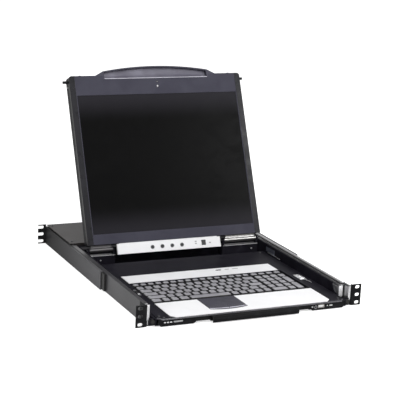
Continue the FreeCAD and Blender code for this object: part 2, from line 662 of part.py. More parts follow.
def pad_shape(name, gap, zs, rear):
    """Rectangle whose front edge bulges out in an arc, smaller all round by a gap."""
    left, right = "pad_left + " + gap, "pad_right - " + gap
    chord = "(pad_width - 2 * %s)" % gap
    front = "(pad_front + pad_bow + %s)" % gap
    radius = "((%s / 2)^2 + pad_bow^2) / (2 * pad_bow)" % chord
    block = box(name + "_block", (left, right), (front, rear), zs)
    disc = rod(name + "_disc", "z", ("pad_middle", "%s - pad_bow + %s" % (front, radius),
                                     zs[0]),
               radius, "(%s) - (%s)" % (zs[1], zs[0]))
    nose = box(name + "_nose", (left, right), (front + " - pad_bow - 1", front), zs)
    tip = doc.addObject("Part::Common", name + "_tip")
    tip.Base = disc
    tip.Tool = nose
    return fuse(name, block, tip)


def touchpad():
    """Touch surface and its two buttons, split in the middle, inside the palm rest."""
    top = "deck_top + pad_sheet"
    whole = pad_shape("pad_whole", "pad_gap", ("deck_top", top), "palm_rear - pad_gap")
    buttons = (("pad_front - 2", "pad_split"), ("deck_top + button_travel + press_gap", top))
    parts = (("touchpad", ("pad_left", "pad_right"),
              ("pad_split + pad_gap", "palm_rear + 1"), ("deck_top", top)),
             ("touchpad_left_button", ("pad_left", "pad_middle - pad_gap / 2"), *buttons),
             ("touchpad_right_button", ("pad_middle + pad_gap / 2", "pad_right"), *buttons))
    for name, xs, ys, zs in parts:
        piece = doc.addObject("Part::Common", name)
        piece.Base = whole
        piece.Tool = box(name + "_region", xs, ys, zs)
        node(name, piece)


def keyboard_strip():
    """White strip behind the keys."""
    node("keyboard_strip", box("keyboard_strip", ("trim_left", "trim_right - strip_short"),
                               ("strip_front", "strip_front + strip_long"),
                               ("deck_top", "trim_top")))


# Key widths of each row in key pitches, from the left; modifiers and the space bar are named.
ROWS = (
    ("mod 1.25", "mod 1", "mod 1", "mod 1.25", "space 5", "mod 1", "mod 1", "mod 1", "mod 1",
     "mod 1"),
    ("mod 2.25",) + ("key 1",) * 10 + ("mod 1.25", "mod 1"),
    ("mod 1.75",) + ("key 1",) * 11 + ("mod 1.75",),
    ("mod 1.5",) + ("key 1",) * 13,
    ("key 1",) * 13 + ("mod 1.5",),
)
MAIN_UNITS = 14.5
PAD_START = 14.6
FUNCTION_COUNT = 16
PAD_KEYS = ((0, 0, 2, 1), (2, 0, 1, 1), (3, 0, 1, 2), (0, 1, 1, 1), (1, 1, 1, 1), (2, 1, 1, 1),
            (0, 2, 1, 1), (1, 2, 1, 1), (2, 2, 1, 1), (3, 2, 1, 2), (0, 3, 1, 1), (1, 3, 1, 1),
            (2, 3, 1, 1), (0, 4, 1, 1), (1, 4, 1, 1), (2, 4, 1, 1), (3, 4, 1, 1))


def key_places():
    """Kind, corner and size of the place that each key takes on the field."""
    pitch, depth = number("key_pitch"), number("row_pitch")
    left, front = number("trim_left"), number("keys_front")
    for row, caps in enumerate(ROWS):
        x = left
        for cap in caps:
            kind, units = cap.split()
            yield kind, x, front + row * depth, float(units) * pitch, depth
            x += float(units) * pitch
    top, deep = front + len(ROWS) * depth + number("function_gap"), number("function_depth")
    step = MAIN_UNITS * pitch / FUNCTION_COUNT
    for index in range(FUNCTION_COUNT):
        yield "function", left + index * step, top, step, deep
    for index in range(4):
        yield "function", left + (PAD_START + index) * pitch, top, pitch, deep
    for column, row, across, along in PAD_KEYS:
        yield ("pad", left + (PAD_START + column) * pitch, front + row * depth,
               across * pitch, along * depth)


def key_cap(x, y, wide, deep):
    """Tapered cap with its stem; x and y are the corner of the key's place."""
    gap, taper, stem = number("key_gap"), number("key_taper"), number("key_stem")
    low = number("pan_top + key_rest" + LIFT)
    middle = FreeCAD.Vector(x + (wide - stem) / 2, y + (deep - stem) / 2,
                            low - number("key_rest") - number("stem_depth"))
    wide, deep = wide - gap, deep - gap
    cap = Part.makeWedge(0, 0, 0, taper, taper, wide, number("key_height"), deep,
                         deep - taper, wide - taper)
    cap.rotate(FreeCAD.Vector(), FreeCAD.Vector(1, 0, 0), 90)
    cap.translate(FreeCAD.Vector(x + gap / 2, y + gap / 2 + deep, low))
    post = Part.makeBox(stem, stem, number("key_rest") + number("stem_depth") + 0.5, middle)
    return cap.fuse(post).removeSplitter()


def keys():
    """Key caps by kind; each kind is one group of separate caps."""
    labels = {"key": "typing_keys", "mod": "modifier_keys", "space": "space_bar",
              "function": "function_keys", "pad": "number_pad_keys"}
    kinds = {kind: [] for kind in labels}
    for kind, *place in key_places():
        kinds[kind].append(key_cap(*place))
    for kind, label in labels.items():
        caps = doc.addObject("Part::Feature", label)
        caps.Shape = kinds[kind][0] if len(kinds[kind]) == 1 else Part.makeCompound(kinds[kind])
        node(label, caps)


def keyboard_base():
    """Pan under the deck's opening, on feet, with a guide hole for each key's stem."""
    pan = box("keyboard_pan", ("trim_left + 0.2", "trim_right - 0.2"),
              ("keyboard_front + 0.2", "keyboard_rear - 0.2"), ("pan_base", "pan_top"))
    feet = [box("keyboard_foot_%d" % index, (x, x + " + 8"),
                ("keyboard_front + 10", "keyboard_rear - 10"),
                ("drawer_floor", "pan_base"))
            for index, x in enumerate(("trim_left + 0.2", "keyboard_middle + 97",
                                       "trim_right - 8.2"))]
    wide = number("key_stem + 2 * stem_play")
    deep = number("pan_thick + 3")
    low = number("pan_base - 2" + LIFT)
    guides = doc.addObject("Part::Feature", "stem_guides")
    guides.Shape = Part.makeCompound([
        Part.makeBox(wide, wide, deep, FreeCAD.Vector(x + (across - wide) / 2,
                                                      y + (along - wide) / 2, low))
        for _, x, y, across, along in key_places()])
    node("keyboard_base", cut("keyboard_base", fuse("keyboard_frame", pan, *feet), guides))


def release_catches():
    """Sliding thumb catches on the deck, one beside each end of the keyboard."""
    for word, sign in SIDES:
        across = side(sign, "catch_place - catch_width / 2", "catch_place + catch_width / 2")
        plate = box(word + "_catch_plate", across, ("catch_front",
                                                    "catch_front + catch_length"),
                    ("deck_top + 0.3", "deck_top + 1.3"))
        thumb = rod(word + "_catch_thumb", "x", (across[0] + " + 1.5", "catch_front + 7",
                                                 "deck_top + 1.1"), "catch_thick - 1.1",
                    "catch_width - 3")
        rivets = [rod("%s_catch_rivet_%d" % (word, index), "z",
                      ("%d * catch_place" % sign, "catch_front + catch_length - " + back,
                       "deck_top + 1"), "2.6", "1.4")
                  for index, back in enumerate(("6", "15"))]
        trim = box(word + "_catch_thumb_room", (across[0] + " - 1", across[1] + " + 1"),
                   ("catch_front", "catch_front + 15"), ("deck_top - 3", "deck_top + 0.3"))
        node(word + "_release_catch", cut(word + "_release_catch",
                                          fuse(word + "_catch_body", plate, thumb, *rivets),
                                          trim))


def usb_port():
    """Metal shell of the front USB socket, with its tongue."""
    rear = "fascia_face + usb_depth"
    can = usb_block("usb_can", "0.1", ("fascia_face - 0.4", rear))
    socket = usb_block("usb_socket", "0.1 + usb_wall", ("fascia_face - 1", rear + " - 3"))
    tongue = box("usb_tongue", ("usb_place - usb_width / 2 + 1.4",
                                "usb_place + usb_width / 2 - 1.4"),
                 ("fascia_face + 0.6", rear), ("usb_height + 0.2", "usb_height + 1.8"))
    node("usb_port", fuse("usb_port", cut("usb_shell", can, socket), tongue))


def reset_button():
    """Small push button in the fascia."""
    node("reset_button", rod("reset_button", "y",
                             ("reset_place", "fascia_face - 0.2", "reset_height"),
                             "reset_radius",
                             "fascia_sheet - reset_travel - 0.1"))


def drawer_rear_cover():
    """Low cover over the rear of the drawer, which carries the display's wiring."""
    half = "drawer_half - drawer_sheet - 0.2"
    run = ("rear_cover_front", "drawer_rear - drawer_sheet - 0.2")
    top = box("rear_cover_plate", ("-(%s)" % half, half), run,
              ("rear_cover_top - drawer_sheet", "rear_cover_top"))
    front = box("rear_cover_front_wall", ("-(%s)" % half, half),
                (run[0], run[0] + " + drawer_sheet"),
                ("drawer_floor", "rear_cover_top"))
    node("drawer_rear_cover", fuse("drawer_rear_cover", top, front))


def screws():
    """Pan-head screws: deck corners, and the cover and ear joints."""
    deck = []
    for index, (x, y) in enumerate((("deck_half - 12", "deck_front + 6"),
                                    ("deck_half - 7", "deck_front + 16"),
                                    ("deck_half - 12", "deck_rear - 10"))):
        for word, sign in SIDES:
            deck.append(rod("%s_deck_screw_%d" % (word, index), "z",
                            ("%d * (%s)" % (sign, x), y, "deck_top"), "screw_head",
                            "head_thick"))
    node("deck_screws", group("deck_screws", *deck))
    heads = []
    for word, sign in SIDES:
        for index, y in enumerate(("cover_front + 14", "chassis_depth - 14")):
            heads.append(rod("%s_cover_screw_%d" % (word, index), "z",
                             ("%d * (chassis_width / 2 - 5)" % sign, y, "cover_top"),
                             "screw_head", "head_thick"))
        start = side(sign, "ear_wall + ear_sheet", "ear_wall + ear_sheet + head_thick")[0]
        for index, level in enumerate(("-11", "11")):
            heads.append(rod("%s_ear_screw_%d" % (word, index), "x", (start, "ear_return - 8",
                                                                      level),
                             "screw_head", "head_thick", ""))
    node("chassis_screws", group("chassis_screws", *heads))


HINGES = (("left", "-box_outer", "left_box_inner"), ("right", "right_box_inner", "box_outer"))


def hinge_boxes():
    """Hinge housings on the drawer floor, with lugs that hold the pins."""
    pins = []
    for word, low, high in HINGES:
        parts = [box(word + "_box_body", (low, high), ("box_front", "box_rear"),
                     ("drawer_floor", "box_top"))]
        for end, start in (("low", low), ("high", high + " - lug_width")):
            name = "%s_%s_lug" % (word, end)
            parts.append(box(name + "_post", (start, start + " + lug_width"),
                             ("hinge_y - hinge_radius", "hinge_y + hinge_radius"),
                             ("box_top - 1", "hinge_height")))
            parts.append(rod(name + "_eye", "x", (start, "hinge_y", "hinge_height"),
                             "hinge_radius", "lug_width"))
        bore = rod(word + "_box_bore", "x", (low + " - 1", "hinge_y", "hinge_height"),
                   "pin_radius", "(%s) - (%s) + 2" % (high, low))
        node(word + "_hinge_box", cut(word + "_hinge_box",
                                      fuse(word + "_hinge_housing", *parts), bore))
        pins.append(rod(word + "_hinge_pin", "x", (low, "hinge_y", "hinge_height"),
                        "pin_radius", "(%s) - (%s)" % (high, low)))
    node("hinge_pins", group("hinge_pins", *pins))


# ---------------------------------------------------------------- display


def hinge_barrels():
    """Barrels round the pins, with an arm up to the display's underside."""
    for word, low, high in HINGES:
        start = low + " + lug_width + lug_gap"
        length = "(%s) - (%s) - 2 * lug_width - 2 * lug_gap" % (high, low)
        barrel = rod(word + "_barrel_body", "x", (start, "0", "0"), "hinge_radius", length, "")
        arm = box(word + "_barrel_arm", (start + " + 3", high + " - lug_width - lug_gap - 3"),
                  ("-3.6", "panel_rear - 0.2"), ("0", "panel_lift"), "")
        bore = rod(word + "_barrel_bore", "x", (start + " - 1", "0", "0"),
                   "pin_radius + pin_gap", length + " + 2", "")
        lean(word + "_hinge_barrel", cut(word + "_hinge_barrel",
                                         fuse(word + "_barrel_blank", barrel, arm), bore))


def grip_notch(name, ys):
    """Room for the root of the grip in the display's top edge."""
    return box(name, ("-grip_half - 0.1", "grip_half + 0.1"), ys,
               ("grip_low - 0.1", "panel_top + 1"), "")


def display_back():
    """Rear shell, open to the front, notched at the top for the grip."""
    blank = box("back_blank", ("-panel_half", "panel_half"), ("panel_split", "panel_rear"),
                ("panel_lift", "panel_top"), "")
    shell = rounded("back_rounded", blank, (0, 1, 0), number("panel_corner"))
    inside = "panel_half - shell_wall"
    depth = ("panel_split - 1", "panel_rear - shell_wall")
    hollow = box("back_hollow", ("-(%s)" % inside, inside), depth,
                 ("panel_lift + shell_wall", "panel_top - shell_wall"), "")
    lean("display_back", cut("display_back", shell, hollow, grip_notch("back_notch", depth)))


def display_bezel():
    """Front frame round the screen, between the side trims."""
    plate = box("bezel_plate", ("-bezel_half", "bezel_half"), ("panel_front", "panel_split"),
                ("panel_lift", "panel_top"), "")
    through = ("panel_front - 1", "panel_split + 1")
    opening = box("bezel_opening", ("-screen_wide / 2", "screen_wide / 2"), through,
                  ("screen_low", "screen_high"), "")
    lean("display_bezel", cut("display_bezel", plate, opening,
                              grip_notch("bezel_notch", through)))


def lcd_panel():
    """Screen glass in the bezel's opening, on the module behind it."""
    half, inset = "screen_wide / 2 - glass_gap", "glass_gap + module_inset"
    front = "panel_front + glass_inset"
    rear = front + " + glass_depth"
    glass = box("screen_glass", ("-(%s)" % half, half), (front, rear),
                ("screen_low + glass_gap", "screen_high - glass_gap"), "")
    module = box("screen_module", ("-(%s - module_inset)" % half, half + " - module_inset"),
                 (rear, rear + " + module_depth"),
                 ("screen_low + " + inset, "screen_high - (%s)" % inset), "")
    lean("lcd_panel", fuse("lcd_panel", glass, module))


def side_trims():
    """Lighter trims down both sides of the display, rounded at the top corners."""
    trims = []
    for word, sign in SIDES:
        blank = box(word + "_trim", side(sign, "bezel_half", "panel_half"),
                    ("panel_front - trim_proud", "panel_split"), ("panel_lift", "panel_top"), "")
        trims.append(rounded(word + "_trim_rounded", blank, (0, 1, 0), number("panel_corner"),
                             lambda edge: edge.BoundBox.ZMin > number("panel_top") - 1
                             and max(abs(edge.BoundBox.XMin), abs(edge.BoundBox.XMax))
                             > number("panel_half") - 1))
    lean("side_trims", group("side_trims", *trims))


def display_handle():
    """Arched grip along the top edge, with a finger pocket from the front."""
    root = box("grip_root", ("-grip_half", "grip_half"), ("panel_front", "panel_rear"
                                                          " - shell_wall"),
               ("grip_low", "panel_top"), "")
    corners = [("-grip_shoulder", "panel_top"), ("grip_shoulder", "panel_top"),
               ("grip_end", "panel_top + grip_rise"), ("-grip_end", "panel_top + grip_rise")]
    wings = pad("grip_wings", "XZ_Plane", corners, "-panel_front")
    radius = "(grip_end^2 + grip_crown^2) / (2 * grip_crown)"
    disc = rod("grip_disc", "y", ("0", "panel_front", "grip_apex - %s" % radius), radius,
               "-panel_front", "")
    crown = doc.addObject("Part::Common", "grip_crown_cap")
    crown.Base = disc
    crown.Tool = box("grip_crown_block", ("-grip_end", "grip_end"), ("panel_front", "0"),
                     ("panel_top + grip_rise - 0.5", "grip_apex + 1"), "")
    hollow = doc.addObject("Part::Common", "grip_hollow")
    hollow.Base = rod("grip_hollow_disc", "y", ("0", "panel_front - 1",
                                                "grip_apex - %s" % radius),
                      radius + " - pocket_rim", "grip_pocket + 1", "")
    hollow.Tool = box("grip_hollow_block", ("-pocket_half", "pocket_half"),
                      ("panel_front - 1", "panel_front + grip_pocket"),
                      ("grip_low + pocket_lip", "grip_apex"), "")
    lean("display_handle", cut("display_handle",
                               fuse("grip_blank", root, wings, crown), hollow))


def latch_hooks():
    """Latch pins that stand out of the display's sides near the top corners."""
    hooks = [rod(word + "_hook", "x",
                 (side(sign, "panel_half", "panel_half + hook_reach")[0], "hook_depth",
                  "panel_top - hook_drop"), "hook_radius", "hook_reach", "")
             for word, sign in SIDES]
    lean("latch_hooks", group("latch_hooks", *hooks))


def control_strip():
    """White control housing below the bezel, with wells for its buttons."""
    body = box("strip_body", ("strip_left", "strip_right"), ("panel_front", "strip_back"),
               ("strip_top - strip_tall", "strip_top"), "")
    root = box("strip_root", ("strip_left + 6", "strip_right - 6"),
               ("panel_front + 1.6", "strip_back"), ("strip_top - 1", "panel_lift"), "")
    wells = [rod("menu_well_%d" % (index + 1), "y",
                 ("button_first + %d * button_pitch" % index, "panel_front - 1",
                  "button_height"), "button_radius + button_play",
                 "well_floor - panel_front + 1", "")
             for index in range(4)]
    wells.append(power_block("power_well", "button_play", ("panel_front - 1", "well_floor")))
    lean("control_strip", cut("control_strip", fuse("strip_blank", body, root), *wells))


def power_block(name, grow, ys):
    """Block at the power button's place, larger all round by grow."""
    return box(name, ("power_place - power_width / 2 - " + grow,
                      "power_place + power_width / 2 + " + grow), ys,
               ("power_height - power_tall / 2 - " + grow,
                "power_height + power_tall / 2 + " + grow), "")


def display_buttons():
    """Round menu buttons and the square power button, sunk in the strip's wells."""
    face, floor = "panel_front - button_proud", "well_floor - menu_travel - press_gap"
    caps = {"menu_button_%d" % (index + 1):
            rod("menu_cap_%d" % (index + 1), "y",
                ("button_first + %d * button_pitch" % index, face, "button_height"),
                "button_radius", "(%s) - (%s)" % (floor, face), "")
            for index in range(4)}
    caps["display_power_button"] = power_block("power_cap", "0", (face, floor))
    for label, cap in caps.items():
        lean(label, group(label, cap))


BUILDERS = (chassis_tray, ears, rear_brackets, bracket_guides, top_cover, rear_panel,
            rear_connections, electronics, outer_slides, middle_slides, inner_slides,
            drawer_tray, front_bumpers, keyboard_deck, front_fascia, front_handle, palm_rest,
            touchpad, keyboard_strip, keyboard_base, keys, release_catches, usb_port,
            reset_button, drawer_rear_cover, screws, hinge_boxes, hinge_barrels, display_back,
            display_bezel, lcd_panel, side_trims, display_handle, latch_hooks, control_strip,
            display_buttons)
for build in BUILDERS:
    build()
doc.recompute()

for obj in doc.Objects:
    if "Invalid" in obj.State or "Error" in obj.State:
        raise ValueError("%s did not compute" % obj.Name)
for label, obj in NODES.items():
    if obj.Shape.isNull() or not obj.Shape.isValid() or not obj.Shape.Solids:
        raise ValueError("%s has no valid solid" % label)

os.makedirs("parts", exist_ok=True)
for label, obj in NODES.items():
    obj.Shape.exportStep("parts/%s.step" % label)
print(len(NODES), "parts written")
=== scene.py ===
# %% [markdown]
# # A rack console drawer
# The object is a drawer for a server rack that carries a keyboard, a touchpad and a fold-up
# display. Its construction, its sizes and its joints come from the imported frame, and this lesson
# gives it its looks: finishes for the sheet metal and the mouldings, and the small pieces that a
# construction model leaves plain, such as key caps, screws, rivets and lamps.

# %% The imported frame
import json
import math
import bmesh
import bpy
from mathutils import Matrix, Vector


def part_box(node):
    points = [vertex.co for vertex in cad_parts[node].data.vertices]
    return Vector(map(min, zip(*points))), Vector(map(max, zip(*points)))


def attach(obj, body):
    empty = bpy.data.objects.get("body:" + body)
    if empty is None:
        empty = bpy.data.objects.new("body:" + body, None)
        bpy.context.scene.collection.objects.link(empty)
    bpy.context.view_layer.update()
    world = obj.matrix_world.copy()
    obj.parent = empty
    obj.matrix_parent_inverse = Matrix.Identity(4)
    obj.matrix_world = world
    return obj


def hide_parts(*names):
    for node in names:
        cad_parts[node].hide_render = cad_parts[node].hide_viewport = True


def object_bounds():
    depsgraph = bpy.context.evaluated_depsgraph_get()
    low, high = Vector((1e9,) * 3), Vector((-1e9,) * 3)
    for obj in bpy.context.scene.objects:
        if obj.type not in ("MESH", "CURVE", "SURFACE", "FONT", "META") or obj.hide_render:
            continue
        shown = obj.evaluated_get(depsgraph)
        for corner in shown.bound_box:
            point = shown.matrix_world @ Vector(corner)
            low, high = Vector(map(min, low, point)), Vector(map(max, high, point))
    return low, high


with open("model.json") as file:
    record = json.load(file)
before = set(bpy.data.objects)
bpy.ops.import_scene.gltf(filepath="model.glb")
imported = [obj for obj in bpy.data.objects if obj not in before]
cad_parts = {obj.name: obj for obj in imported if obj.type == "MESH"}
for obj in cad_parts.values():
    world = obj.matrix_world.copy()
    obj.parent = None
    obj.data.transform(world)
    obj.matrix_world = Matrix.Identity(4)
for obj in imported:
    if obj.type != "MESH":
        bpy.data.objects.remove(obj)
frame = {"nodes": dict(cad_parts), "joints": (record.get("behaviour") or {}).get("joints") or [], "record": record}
cad_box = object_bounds()
MM = 0.001
print("construction box, mm:", [[round(v / MM, 1) for v in corner] for corner in cad_box])

# %% [markdown]
# ## Reading places from the frame
# Every new piece sits on a piece of the construction, so its place is read and never typed in. A
# node may hold several separate solids, such as one for each key. They can be told apart by
# following shared corners, which gives each solid's own box.


# %% Boxes of separate solids
CORNER_STEPS = 1e6  # corners within a micrometre count as one


def extent(spots):
    """Lowest and highest corner of a set of places."""
    return (Vector([min(spot[i] for spot in spots) for i in range(3)]),
            Vector([max(spot[i] for spot in spots) for i in range(3)]))


def lumps(node):
    """Lowest and highest corner of each separate solid in a node, sorted by place."""
    mesh = frame["nodes"][node].data
    names = {}
    known = [names.setdefault(tuple(round(v * CORNER_STEPS) for v in vertex.co), len(names))
             for vertex in mesh.vertices]
    roots = list(range(len(names)))

    def root(index):
        while roots[index] != index:
            roots[index] = roots[roots[index]]
            index = roots[index]
        return index

    for face in mesh.polygons:
        first = root(known[face.vertices[0]])
        for other in face.vertices[1:]:
            roots[root(known[other])] = first
    groups = {}
    for vertex, index in zip(mesh.vertices, known):
        groups.setdefault(root(index), []).append(vertex.co)
    return sorted((extent(group) for group in groups.values()),
                  key=lambda pair: tuple(round(v, 4) for v in pair[0]))


tilt = next(joint for joint in frame["joints"] if joint["name"] == "display_tilt")
print("the display turns about", tilt["pos_m"], "separate key caps:", len(lumps("typing_keys")))

# %% [markdown]
# ## Camera
# A long lens well away from the drawer keeps its edges nearly parallel. The camera is placed by
# its turn about the upright, its rise and a slight roll, which are the angles that a tripod head
# is set to.

# %% Camera
LENS_LENGTH = 118.09
EYE = Vector((-1.12376, -2.11573, 0.796605))
TURN, RISE, ROLL = (math.radians(v) for v in (-25.320, 13.946, 2.799))


def camera_turn(turn, rise, roll):
    """Rotation of a camera that looks at the drawer's front from a turn and a rise."""
    right = Vector((math.cos(turn), math.sin(turn), 0))
    back = Vector((math.sin(turn) * math.cos(rise), -math.cos(turn) * math.cos(rise),
                   math.sin(rise)))
    up = back.cross(right)
    level = Matrix((right, up, back)).transposed()
    return level @ Matrix.Rotation(roll, 3, "Z")


def linked(name, data):
    """New object that shows its data in the scene."""
    holder = bpy.data.objects.new(name, data)
    bpy.context.scene.collection.objects.link(holder)
    return holder


camera = linked("studio_camera", bpy.data.cameras.new("studio_camera"))
camera.data.lens = LENS_LENGTH
camera.data.clip_start, camera.data.clip_end = 0.05, 100
camera.matrix_world = Matrix.Translation(EYE) @ camera_turn(TURN, RISE, ROLL).to_4x4()
bpy.context.scene.camera = camera
bpy.context.scene.view_settings.view_transform = "Standard"
print("camera is", round((EYE - (cad_box[0] + cad_box[1]) / 2).length, 3), "m from the middle")

# %% [markdown]
# ## Node trees written as sums
# A finish is a tree of shader nodes, and a repeated piece is a tree of geometry nodes. Drawn by
# hand, a tree is slow to read, so here a small class stands for one output of a tree, and an
# ordinary sum on it adds the Math nodes. Every other node comes from one method that takes its
# type, its settings and its values.


# %% Sums on sockets
class Wire:
    """One output of a tree; sums on it add Math nodes."""

    def __init__(self, graph, socket):
        self.graph, self.socket = graph, socket

    def of(self, name):
        """Another output of the same node."""
        return Wire(self.graph, self.socket.node.outputs[name])

    def maths(self, operation, *values):
        return self.graph.add("ShaderNodeMath", {"operation": operation},
                              dict(enumerate(values)))

    def __add__(self, other):
        return self.maths("ADD", self, other)

    def __sub__(self, other):
        return self.maths("SUBTRACT", self, other)

    def __rsub__(self, other):
        return self.maths("SUBTRACT", other, self)

    def __mul__(self, other):
        return self.maths("MULTIPLY", self, other)

    def __truediv__(self, other):
        return self.maths("DIVIDE", self, other)

    def __gt__(self, other):
        return self.maths("GREATER_THAN", self, other)

    def __lt__(self, other):
        return self.maths("LESS_THAN", self, other)

    __radd__, __rmul__ = __add__, __mul__

    def size(self):
        return self.maths("ABSOLUTE", self)

    def sign(self):
        return self.maths("SIGN", self)

    def limit(self):
        return self.graph.add("ShaderNodeClamp", None, {"Value": self})

    def ease(self, low, high):
        """0 below low, 1 above high, and a soft step between."""
        return self.graph.add("ShaderNodeMapRange", {"interpolation_type": "SMOOTHSTEP"},
                              {"Value": self, "From Min": low, "From Max": high})


class Graph:
    """A node tree that is built by calls."""

    def __init__(self, tree):
        self.tree = tree

    def add(self, kind, settings=None, values=None, out=0):
        """One node: its settings first, then the values or wires of its inputs."""
        node = self.tree.nodes.new(kind)
        for name, value in (settings or {}).items():
            setattr(node, name, value)
        for name, value in (values or {}).items():
            socket = node.inputs[name]
            for one in value if isinstance(value, list) else [value]:
                if isinstance(one, Wire):
                    self.tree.links.new(one.socket, socket)
                elif socket.type == "RGBA":
                    socket.default_value = (*one, 1)
                else:
                    socket.default_value = one
        return Wire(self, node.outputs[out]) if node.outputs else None

    def vector(self, x=0.0, y=0.0, z=0.0):
        """Three values as one vector."""
        return self.add("ShaderNodeCombineXYZ", None, {0: x, 1: y, 2: z})


print("sums and nodes ready")

# %% [markdown]
# ## The ingredients of a finish
# Real paint and plastic are never one colour: a coat pools and thins, a mould leaves a fine
# grain, and hands and racks rub the edges bright. Each ingredient here is a mask over the
# surface, read from Object coordinates in metres, so that its scale is a real one and it travels
# with its piece.


# %% Finish with its ingredients
class Finish(Graph):
    """A material: its masks, and the shader that they feed."""

    def __init__(self, name):
        self.material = bpy.data.materials.new(name)
        self.material.use_nodes = True
        super().__init__(self.material.node_tree)
        self.tree.nodes.clear()
        self.place = self.add("ShaderNodeTexCoord", out="Object")

    def stretched(self, scale):
        """Object coordinates, stretched along the axes."""
        return self.add("ShaderNodeMapping", None, {"Vector": self.place, "Scale": scale})

    def noise(self, size, detail=2, roughness=0.5, place=None, distortion=0):
        """Cloudy mask whose patches are about size metres across."""
        return self.add("ShaderNodeTexNoise", None,
                        {"Vector": place or self.place, "Scale": 1 / size, "Detail": detail,
                         "Roughness": roughness, "Distortion": distortion})

    def cells(self, size):
        """Distance in a pattern of cells about size metres across."""
        return self.add("ShaderNodeTexVoronoi", None,
                        {"Vector": self.place, "Scale": 1 / size}, out="Distance")

    def edges(self, radius):
        """1 along the edges of the piece, within radius of them."""
        soft = self.add("ShaderNodeBevel", {"samples": 6}, {"Radius": radius})
        flat = self.add("ShaderNodeNewGeometry", out="True Normal")
        same = self.add("ShaderNodeVectorMath", {"operation": "DOT_PRODUCT"},
                        {0: soft, 1: flat}, out="Value")
        return ((1 - same) * 6).limit()

    def blend(self, mask, first, second):
        """Colour that goes from first to second as the mask goes from 0 to 1."""
        return self.add("ShaderNodeMix", {"data_type": "RGBA"},
                        {0: mask, 6: first, 7: second}, out=2)

    def part(self, axis):
        """One coordinate of the place, in metres."""
        return self.add("ShaderNodeSeparateXYZ", None, {0: self.place}, out="XYZ".index(axis))

    def coat(self, values, relief=None, depth=0.0, rounding=0.0):
        """Ends the tree in the shader, with a relief of that depth in metres."""
        rounded = self.add("ShaderNodeBevel", {"samples": 6},
                           {"Radius": rounding}) if rounding else None
        if relief is not None:
            bump = {"Height": relief, "Distance": depth, "Strength": 1.0}
            if rounded:
                bump["Normal"] = rounded
            rounded = self.add("ShaderNodeBump", None, bump)
        if rounded:
            values = {**values, "Normal": rounded}
        shader = self.add("ShaderNodeBsdfPrincipled", None, values)
        self.add("ShaderNodeOutputMaterial", None, {"Surface": shader})
        return self.material


print("ingredients: clouds, cells, edges, relief")

# %% [markdown]
# ## Painted sheet metal
# The tray, the ears and the sleeves are folded steel with a black powder coat. The powder melts
# into a fine orange-peel skin, a little thin on the sharp folds, where steel or a lighter grey
# starts to show. The drawer's own panels have a smoother slate paint, and the cover a
# brownish-grey one, so one recipe with different numbers serves for all. The ears, the front
# handle, the fascia and the rear sleeves take darker copies of the black coat as painted shade,
# the sleeves also get painted light towards their front, and the deck's nose takes a lighter,
# glossier copy of the slate paint as a painted highlight. The recipe can also turn the level
# tops of a rim paler grey.


# %% Powder coats
PALE_RIM_GREY = (0.48, 0.48, 0.50)


def powder_coat(name, dark, light, worn, gloss, peel=0.0011, wear=0.75, depth=0.00003,
                shine=0.3, pale_rim=None, painted_front_light=None):
    """Powder paint; it can turn level rim tops paler grey, and paint light along a face's depth."""
    paint = Finish(name)
    pool = paint.noise(0.09, detail=4, roughness=0.6)
    skin = paint.noise(peel, detail=2)
    grit = paint.cells(0.0007)
    rub = paint.edges(0.0007) * paint.noise(0.006, detail=3).ease(0.35, 0.68) * wear
    dust = paint.noise(0.03, detail=5, roughness=0.7).ease(0.45, 0.75) * 0.25
    colour = paint.blend(pool.ease(0.3, 0.7), dark, light)
    colour = paint.blend(rub, paint.blend(dust * 0.4, colour, worn), worn)
    # Level faces past a side and above a height turn paler grey.
    if pale_rim:
        facing = paint.add("ShaderNodeNewGeometry", out="True Normal")
        level = paint.add("ShaderNodeSeparateXYZ", None, {0: facing}, out="Z") > 0.7
        rim = level * (paint.part("X") > pale_rim[0]) * (paint.part("Z") > pale_rim[1])
        colour = paint.blend(rim * (0.7 + dust), colour, PALE_RIM_GREY)
    # Painted light: the face turns paler from the first depth to the second.
    if painted_front_light:
        reach = (paint.part("Y") + pool * 0.04).ease(painted_front_light[0], painted_front_light[1])
        colour = paint.blend(reach * (0.8 + skin * 0.2), colour, painted_front_light[2])
    return paint.coat({"Base Color": colour,
                       "Roughness": gloss + skin * 0.14 + dust * 0.3 - rub * 0.12,
                       "IOR": 1.5, "Specular IOR Level": shine},
                      skin * 0.7 + grit * 0.3, depth, rounding=0.0006)


tray_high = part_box("chassis_tray")[1]
coat_black = ((0.034, 0.033, 0.036), (0.046, 0.045, 0.049), (0.20, 0.20, 0.205), 0.34)
black_steel = powder_coat("black_powder_coat", *coat_black, shine=0.26)
tray_black = powder_coat("black_tray_coat", *coat_black, shine=0.26,
                         pale_rim=(tray_high.x - 4 * MM, 8 * MM))
# Painted shade and light: a darker copy of the black coat, painted paler towards the front.
sleeve_low, sleeve_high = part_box("left_rear_bracket")
shaded_sleeve_black = powder_coat("black_sleeve_coat", (0.009, 0.0085, 0.009), (0.014, 0.0135, 0.014),
                           (0.15, 0.15, 0.155), 0.40, shine=0.06,
                           painted_front_light=(sleeve_high.y, sleeve_low.y, (0.115, 0.114, 0.120)))
# Painted shade: a darker copy of the black coat for the ears, the front handle and the fascia.
shaded_ear_black = powder_coat("black_ear_coat", (0.0055, 0.0055, 0.0062), (0.009, 0.009, 0.010),
                        (0.10, 0.10, 0.105), 0.42, shine=0.05)
cover_grey = powder_coat("cover_grey_coat", (0.030, 0.0265, 0.0265), (0.038, 0.034, 0.034),
                         (0.18, 0.17, 0.16), 0.44, shine=0.12)
slate_paint = powder_coat("slate_paint", (0.0080, 0.0075, 0.0108), (0.0120, 0.011, 0.0160),
                          (0.10, 0.10, 0.12), 0.40, peel=0.0016, depth=0.00002, shine=0.035)
